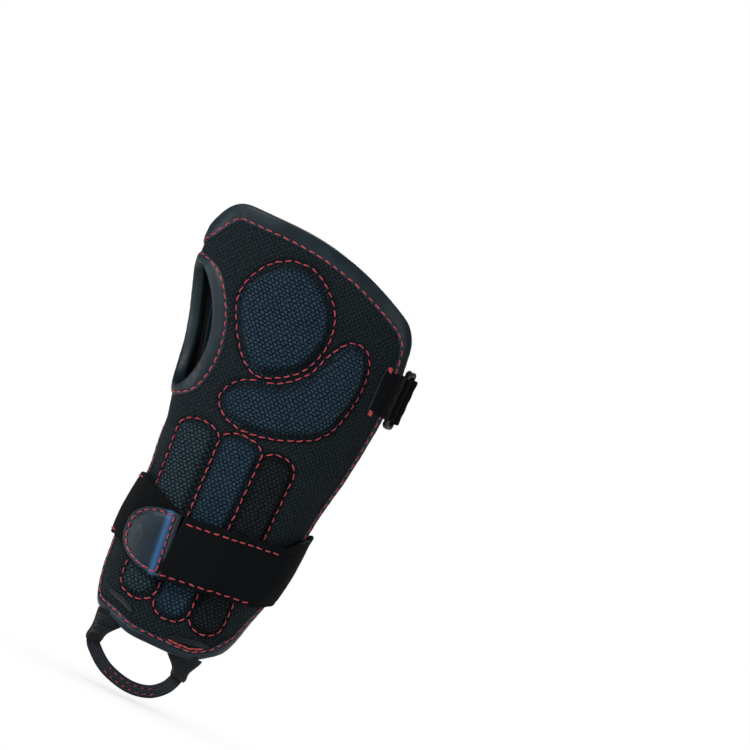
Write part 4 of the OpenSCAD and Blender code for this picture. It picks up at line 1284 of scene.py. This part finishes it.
def arc_points(centre, radius, start, stop, count=22):
    a = np.radians(np.linspace(start, stop, count))
    return np.stack([centre[0] + radius * np.cos(a), centre[1] + radius * np.sin(a)], 1)


def ring_shape():
    """Moulded ring: rounded rectangle of squarish bar, thicker at its two short ends."""
    half_w, half_h, corner_r = RING_REACH / 2, RING_LEN / 2 - RING_R - 0.1, 2.2
    corners = []
    for cx, cy, a0 in ((1, 1, 0), (-1, 1, 90), (-1, -1, 180), (1, -1, 270)):
        centre = cx * (half_w - corner_r), cy * (half_h - corner_r)
        corners.append(arc_points(centre, corner_r, a0, a0 + 90, 9))
    path = spaced(np.vstack(corners), 0.55, closed=True)
    out = loop_outward(path)
    normal = np.array([-lean_way[1], lean_way[0]])
    rings = []
    for p, o in zip(path, out):
        end = ease((abs(p[1]) - half_h + 2.6) / 2.2)
        r_in, r_out = RING_R + 0.12 * end, RING_R + 0.35 * end
        ring = []
        for a in np.linspace(0, 2 * math.pi, 16, endpoint=False):
            c, s = signed_power(math.cos(a), 0.8), signed_power(math.sin(a), 0.8)
            q = p + o * c * r_in
            flat = inner_bar + lean_way * (q[0] + RING_REACH / 2) + normal * s * r_out
            ring.append([flat[0], flat[1], RING_Z + q[1]])
        rings.append(ring)
    return tube("moulded_ring", rings, closed_path=True)


ring = ring_shape()
fit_out(ring, "ring", "hand_ring", "ring")


def fold_cloth(name, path, length, thick, seed):
    """Fabric fold: a path of (x, y) points given thickness and swept along the ring's length."""
    path = spaced(path, 0.5)
    out = loop_outward(path, closed=False)
    n = len(path)
    levels = np.concatenate([[-0.5, -0.485, -0.45], np.linspace(-0.42, 0.42, 16), [0.45, 0.485, 0.5]])
    rings, uvs = [], []
    for share in levels:
        thin = 0.55 if abs(share) > 0.495 else (0.85 if abs(share) > 0.47 else 1.0)
        wave = 0.12 * math.sin(share * 21 + seed)
        a, b = path + out * (thick / 2 * thin + wave), path - out * thick / 2 * thin
        section = np.vstack([a, b[::-1]])
        fray = 0.12 * np.sin(np.arange(2 * n) * 0.21 + seed) * (abs(share) > 0.4)
        z = RING_Z + share * length + fray
        rings.append(np.column_stack([section, z]))
        run = np.concatenate([np.arange(n), np.arange(n)[::-1]]) * 0.5
        uvs.append(np.stack([run, np.full(2 * n, share * length)], 1))
    obj = tube(name, rings, uvs)
    return dress(obj, "loop")


HAND_HALF, HAND_END, HAND_TAB_Z = 11.0, 474.0, 62.8
KEEPER_LENGTH, KEEPER_T, KEEPER_SLIT_X = 20.5, 1.1, 38.3
keeper_r = RING_R + 0.85
tail_x = np.linspace(38.6, 44.2, 14)
tail = np.stack([tail_x, skin(palm_angle(tail_x, RING_Z), RING_Z, 1.5)[:, 1]], 1)
side_t = np.linspace(340, 362, 10)
side = skin(side_t, RING_Z, 1.75)[:, :2]
tail = tail[tail[:, 0] < side[0, 0] - 1.0]
keeper_path = np.vstack([tail, side, arc_points(inner_bar, keeper_r, -62, 138)])
keeper = fold_cloth("ring_keeper_cloth", keeper_path, KEEPER_LENGTH, KEEPER_T, 3)
stand_in(keeper, "ring_keeper", "shell")

OVER_HAND_HOOK = OVER_BACK + STRAP_T + LAYER + HOOK_T + LAYER


def hand_z(t):
    return ramp(t, 380, 500, RING_Z, RING_Z + 5)


def lift_to_ring(t):
    return ramp(t, 384, 408, 4.4, 0)


def hand_band_line(t):
    return hand_z(t), np.full(len(t), HAND_HALF), OVER_BACK + lift_to_ring(t)


def hand_flap_line(t):
    return hand_z(t), np.full(len(t), HAND_HALF), OVER_HAND_HOOK + lift_to_ring(t)


turn_r = RING_R + 0.15 + STRAP_T / 2
bar_angle = math.degrees(math.atan2(*(skin(386, RING_Z, 1)[:2] - skin(386, RING_Z, 0)[:2])[::-1]))
turn_path = arc_points(outer_bar, turn_r, bar_angle - 175, bar_angle + 25)
turn = fold_cloth("hand_strap_fold", turn_path, 2 * HAND_HALF, STRAP_T, 5)
stand_in(turn, "hand_strap_turn", "ring")

hand_band_t = even_angles(385, HAND_END + 8, 1.5, RING_Z)
hand_band = strap_cloth("hand_strap_cloth", hand_band_t, hand_band_line, STRAP_T, 54, 22)
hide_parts("hand_strap_band")
ring_bend = (tuple(skin(410, RING_Z, 0) * MM), (outer_bar[0] * MM, outer_bar[1] * MM, RING_Z * MM))
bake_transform(hand_band)

hand_flap_t = even_angles(384, HAND_END, 1.5, RING_Z)
hand_flap = strap_cloth("hand_flap_cloth", hand_flap_t, hand_flap_line, STRAP_T, 55, 22)
stand_in(hand_flap, "hand_strap_flap", "hand_flap")
sew_strap("hand_flap", hand_flap_t[3:-3], hand_flap_line, STRAP_T, (1.9, 1.9), tone=0.3, pitch=4.2, dash=3.0)


def hand_hook_line(t):
    return hand_z(t), np.full(len(t), HAND_HALF - 2), np.full(len(t), OVER_BACK + STRAP_T + LAYER)


hand_hook_t = even_angles(425, HAND_END - 4, 1.5, RING_Z)
hand_hook = strap_cloth("hand_hook_tape", hand_hook_t, hand_hook_line, HOOK_T, 56, 12, 0.03, look="hook")
stand_in(hand_hook, "hand_strap_hook", "hand_flap")


def hand_tab_line(start, stop, inset):
    """D shape on the hand strap from angle start to angle stop."""
    root, tip = float(s_of(start, HAND_TAB_Z)), float(s_of(stop, HAND_TAB_Z))
    return d_outline(root, tip, HAND_TAB_Z, HAND_HALF - inset, 2.2)


hand_tab_outline = hand_tab_line(HAND_END - 3, HAND_END + 26, 0.2)


def on_hand_tab(s, z, d):
    t = t_of(s, HAND_TAB_Z + 0 * s)
    return skin(t, z, d + ramp(t, HAND_END + 7, HAND_END + 26, 0, 2.4))


hand_tab = patch("hand_tab_leather", hand_tab_outline, on_hand_tab, OVER_HAND_HOOK + 0.02,
                 lambda depth, p: OVER_HAND_HOOK + rolled_edge(TAB_T, depth, 0.2, 2.0))
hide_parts("hand_strap_tab")
hand_tab_bend = [tuple(skin(HAND_END + t, HAND_TAB_Z, 1) * MM) for t in (-1, 5)]
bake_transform(hand_tab)
hand_seam = hand_tab_line(HAND_END + 1.5, HAND_END + 23.5, 2.2)
sew_patch("hand_tab", hand_seam, on_hand_tab, OVER_HAND_HOOK + TAB_T, tone=0.2, pitch=3.6, dash=2.5)


# ---- Pull loop ------------------------------------------------------------------------------------
LOOP_Y, LOOP_W, LOOP_T = -20.5, 6.0, 2.6
LEGS = [(-34.5, -19.0, -30.5), (1.0, 18.5, 11.5)]
LOOP_LINE = [(-31, -94.5), (-31, -97), (-28.6, -101), (-20, -107.4), (-8, -110.6), (2, -109.2), (8.5, -104),
             (11.5, -97), (11.8, -94.5)]
LEG_LOW = -98.5


def leg_sleeve(name, leg, seed):
    """Leather sleeve from under the forearm edge down to the webbing, creased across by its folds."""
    mid = (leg[0] + leg[1]) / 2
    rows, around = 40, 44
    turn = np.linspace(0, 2 * math.pi, around, endpoint=False)
    rings, uvs = [], []
    for j in range(rows + 1):
        f = j / rows
        x0 = mid + (leg[2] - mid) * ease(f * 1.1)
        top = float(panel_low(palm_angle(mid, -84))) + 1.5
        z = top + (LEG_LOW - top) * f
        half = (leg[1] - leg[0]) / 2 * (1 - ease(f * 1.35)) + (LOOP_W / 2 + 1.0) * ease(f * 1.35)
        thick = 1.0 + 1.75 * ease(f * 1.2)
        close = 1 - 0.35 * ease((f - 0.9) / 0.1)
        half *= 1 - 0.12 * ease((f - 0.85) / 0.15)
        w = half * signed_power(np.cos(turn), 0.55)
        out = thick * signed_power(np.sin(turn), 0.6) * close
        folds = wave_noise(w * 0.6 + 40 * seed, np.full(around, z * 2.2), 9, 70 + seed)
        crease = 0.32 * folds * math.sin(math.pi * min(1, f * 1.15)) ** 0.5
        y_guard = skin(palm_angle(mid, max(z, -89)), max(z, -89), -1.7)[1]
        y = y_guard + (LOOP_Y + 0.9 - y_guard) * ease(f * 1.4)
        rings.append(np.stack([x0 + w, y - out - crease, z + 0.5 * np.sin(w * 0.5 + seed) * f], 1))
        uvs.append(np.stack([turn / (2 * math.pi) * 4 * half, np.full(around, z)], 1))
    obj = tube(name, rings, uvs)
    dress(obj, "dark_leather")
    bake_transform(obj)
    return obj


legs = [leg_sleeve("pull_loop_leg_thumb_side", LEGS[0], 1),
        leg_sleeve("pull_loop_leg_little_finger_side", LEGS[1], 2)]
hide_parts("pull_loop_legs", "pull_loop_anchors")


def loop_webbing():
    path = spaced(round_curve(LOOP_LINE, closed=False, per=20), 0.6)
    out = loop_outward(path, closed=False)
    y0 = LOOP_Y + 0.95 + LOOP_T / 2
    edge = np.radians([55, 0, -55])
    across = np.linspace(-1, 1, 15)
    rings, uvs = [], []
    for k, (p, o) in enumerate(zip(path, out)):
        h, r = LOOP_W / 2 - 0.8, LOOP_T / 2 - 0.15
        w = np.concatenate([across * h, h + 0.8 * np.cos(edge), -across * h, -h - 0.8 * np.cos(edge)])
        rim = r * 0.85 * np.sin(edge)
        e = np.concatenate([np.full(len(across), r), rim, np.full(len(across), -r), -rim])
        e = e + 0.12 * np.sign(e) * np.cos(w * 2 * math.pi / 2.6)
        sway = 0.35 * math.sin(k * 0.09)
        rings.append(np.stack([p[0] + o[0] * w, y0 - e + sway, p[1] + o[1] * w], 1))
        uvs.append(np.stack([np.full(len(w), k * 0.6), w], 1))
    obj = tube("pull_loop_band", rings, uvs)
    fit_out(obj, "webbing", "pull_loop_webbing", "pull_loop")
    front = y0 - LOOP_T / 2 - 0.05
    stitched = path[int(len(path) * 0.3):int(len(path) * 0.74)]
    for w in (-1.3, 1.3):
        line = stitched + loop_outward(stitched, closed=False) * w
        points = np.stack([line[:, 0], np.full(len(line), front), line[:, 1]], 1)
        facing = np.tile([0.0, -1.0, 0.0], (len(line), 1))
        sew("pull_loop", points, facing, pitch=3.4, dash=1.6, radius=0.2, tone=0.0)


loop_webbing()

# ---- Slots, welts and bar tacks -------------------------------------------------------------------
SLOTS = [((-33, -74.6), (-19.4, -79.2)), ((0.8, -82.6), (18, -79.4))]


def slot_welt(name, slot):
    """Leather lips on both sides of a slot, drawn together at its ends."""
    a, b = np.array(slot[0]), np.array(slot[1])
    along = np.linspace(0, 1, 48)
    line = from_view(a + (b - a) * along[:, None] + np.array([0, 0.5]) * np.sin(along * math.pi)[:, None])
    out = loop_outward(line, closed=False)
    bend = np.linspace(0, 2 * math.pi, 18, endpoint=False)
    rings, uvs = [], []
    for k, (p, o) in enumerate(zip(line, out)):
        open_by = max(0.3, math.sin(along[k] * math.pi) ** 0.18)
        w = 1.5 * np.cos(bend) * open_by
        d = 0.45 + 0.7 * np.sin(bend) - 0.75 * hump(w, 0.42) * (np.sin(bend) > 0) * open_by
        place = p[None, :] + o[None, :] * w[:, None]
        rings.append(on_guard(place[:, 0], place[:, 1], d))
        uvs.append(np.stack([np.full(len(bend), k * 0.4), w], 1))
    obj = tube(name, rings, uvs)
    dress(obj, "dark_leather")
    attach(obj, "shell")
    return obj


def dense_row(x_from, x_to):
    """Second, closer row of stitches beside the edge stitching under a slot."""
    row = smooth_loop(edge_line - loop_outward(PANEL_LOOP) * 1.3, 6)
    x = on_guard(row[:, 0], row[:, 1], 0)[:, 0]
    under = (row[:, 1] < -60) & (x > x_from) & (x < x_to)
    sew_loop("shell", row[under], 0.4, closed=False, pitch=2.7, dash=2.5, radius=0.36, tone=0.95)


dense_row(SLOTS[1][0][0] - 1, SLOTS[1][1][0] - 1)
welts = [slot_welt(f"loop_slot_welt_{k + 1}", slot) for k, slot in enumerate(SLOTS)]
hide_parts("loop_slot_welts")


def bar_tack(x, z, length, turns):
    """Dense zigzag of thread across a short line along the hand."""
    zs = np.linspace(z - length / 2, z + length / 2, turns)
    for k, level in enumerate(zs):
        reach = np.array([x - 0.9, x + 0.9]) if k % 2 else np.array([x + 0.9, x - 0.9])
        line = from_view(np.stack([np.linspace(*reach, 4), level + np.linspace(0, length / turns, 4)], 1))
        sew("bar_tacks", *lay(line, 1.9), pitch=3.0, dash=2.0, radius=0.3, tone=0.4)


def keeper_slit():
    """Thin leather lip of the slit that the ring keeper comes out of."""
    z = np.linspace(RING_Z - 11.5, RING_Z + 11.5, 40)
    line = from_view(np.stack([np.full(len(z), KEEPER_SLIT_X), z], 1))
    bend = np.linspace(0, 2 * math.pi, 12, endpoint=False)
    rings = []
    for k, p in enumerate(line):
        size = 0.75 * math.sin(math.pi * (k + 1) / (len(line) + 1)) ** 0.25
        rings.append(on_guard(p[0] + size * np.cos(bend), p[1], 0.3 + 0.9 * size * np.sin(bend)))
    obj = tube("keeper_slit_lip", rings)
    dress(obj, "dark_leather")
    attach(obj, "shell")


keeper_slit()
for z in (RING_Z - 11, RING_Z + 10.5):
    bar_tack(KEEPER_SLIT_X + 0.1, z, 1.8, 5)


# ---- Hidden layers --------------------------------------------------------------------------------
foam = panel_sheet("palm_foam_sheet", 2.5, 2.4, lambda p, high: np.full(len(p), LINING_IN + LINING_T + GAP),
                   lambda p: -COVER_T - GAP - 0.08 + 0.05 * wave_noise(*p.T, 12, 5))
fit_out(foam, "foam", "palm_foam")
for node in ("radial_plate", "middle_plate", "ulnar_plate"):
    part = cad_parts[node]
    part.data.materials.clear()
    part.data.materials.append(MATERIALS["plate"])

# ---- Thread ---------------------------------------------------------------------------------------
THREAD_BENDS = {
    "wrist_flap": ("shell", wrist_hinge),
    "wrist_tab": ("wrist_flap", tab_bend),
    "hand_tab": ("hand_flap", hand_tab_bend),
}
for group, (verts, faces, uvs, tones) in stitch_sets.items():
    obj = make_object(f"stitches_{group}", verts, faces, uvs, tones)
    dress(obj, "thread")
    if group in THREAD_BENDS:
        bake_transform(obj)
    else:
        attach(obj, group if group in ("hand_flap", "pull_loop") else "shell")
    if group == "bar_tacks":
        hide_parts("bar_tacks")

# ---- Stage ----------------------------------------------------------------------------------------
FLOOR_Z = -0.1165
CAMERA_ROLL, CAMERA_LENS, CAMERA_DISTANCE = math.radians(25), 316.75, 3.0
CAMERA_AIM = (0.0345, 0, 0.0638)


def pale_floor():
    """Pale floor with a painted shadow only close under the guard; it fades into the backdrop."""
    mesh = bpy.data.meshes.new("floor")
    size = 6.0
    corners = [(x * size, y * size, FLOOR_Z) for x, y in ((-1, -1), (1, -1), (1, 1), (-1, 1))]
    mesh.from_pydata(corners, [], [(0, 1, 2, 3)])
    obj = in_scene("floor", mesh)
    material = bpy.data.materials.new("pale_floor")
    material.use_nodes = True
    tree = material.node_tree
    shader = tree.nodes["Principled BSDF"]
    # Painted contact shadow: ambient occlusion darkens the floor's glow close under the guard.
    shadow = add(tree, "ShaderNodeAmbientOcclusion", {"Distance": 0.09}, samples=16)
    tint = Value(tree, shadow.outputs["AO"]).eased(0.1, 1.0).blend((0.62, 0.62, 0.64), (1.0, 1.0, 1.0))
    glow = add(tree, "ShaderNodeEmission", {"Color": tint, "Strength": 1.0})
    shader.inputs["Base Color"].default_value = (0.8, 0.8, 0.8, 1)
    shader.inputs["Roughness"].default_value = 0.9
    seen = add(tree, "ShaderNodeLightPath").outputs["Is Camera Ray"]
    mixed = add(tree, "ShaderNodeMixShader", {0: seen, 1: shader.outputs[0], 2: glow.outputs[0]})
    tree.links.new(mixed.outputs[0], tree.nodes["Material Output"].inputs["Surface"])
    obj.data.materials.append(material)


def soft_world():
    """White backdrop for the camera, dimmer grey light for the guard."""
    world = bpy.data.worlds.new("studio")
    bpy.context.scene.world = world
    world.use_nodes = True
    tree = world.node_tree
    backdrop = tree.nodes["Background"]
    seen = Value(tree, add(tree, "ShaderNodeLightPath").outputs["Is Camera Ray"])
    tree.links.new(bare(seen * 0.88 + 0.12), backdrop.inputs["Strength"])
    backdrop.inputs["Color"].default_value = (1, 1, 1, 1)


def area_light(name, place, aim, size, watts, colour=(1, 1, 1)):
    data = bpy.data.lights.new(name, "AREA")
    data.shape, data.size, data.energy, data.color = "DISK", size, watts, colour
    obj = in_scene(name, data)
    obj.location = place
    obj.rotation_euler = (Vector(aim) - Vector(place)).to_track_quat("-Z", "Y").to_euler()


def photo_camera():
    """Camera square to the palm, rolled so that the guard leans as it is worn."""
    data = bpy.data.cameras.new("camera")
    data.sensor_width, data.lens = 36.0, CAMERA_LENS
    data.clip_end = 20
    obj = in_scene("camera", data)
    right = Vector((math.cos(CAMERA_ROLL), 0, math.sin(CAMERA_ROLL)))
    up = Vector((-math.sin(CAMERA_ROLL), 0, math.cos(CAMERA_ROLL)))
    back = right.cross(up)
    place = Vector(CAMERA_AIM) + back * CAMERA_DISTANCE
    obj.matrix_world = Matrix([*([right[i], up[i], back[i], place[i]] for i in range(3)), [0, 0, 0, 1]])
    bpy.context.scene.camera = obj


pale_floor()
soft_world()
area_light("key", (-0.75, -0.95, 0.75), (0, 0, 0), 0.5, 13.5)
area_light("fill", (0.9, -0.8, 0.1), (0, 0, 0), 0.8, 4)
area_light("rim", (0.3, 0.9, 0.8), (0, 0, 0), 0.6, 13)
area_light("left_strip", (-0.6, -0.25, -0.15), (-0.02, -0.02, -0.03), 0.25, 4, (0.85, 0.93, 1.0))
photo_camera()
scene = bpy.context.scene
scene.view_settings.view_transform = "Standard"
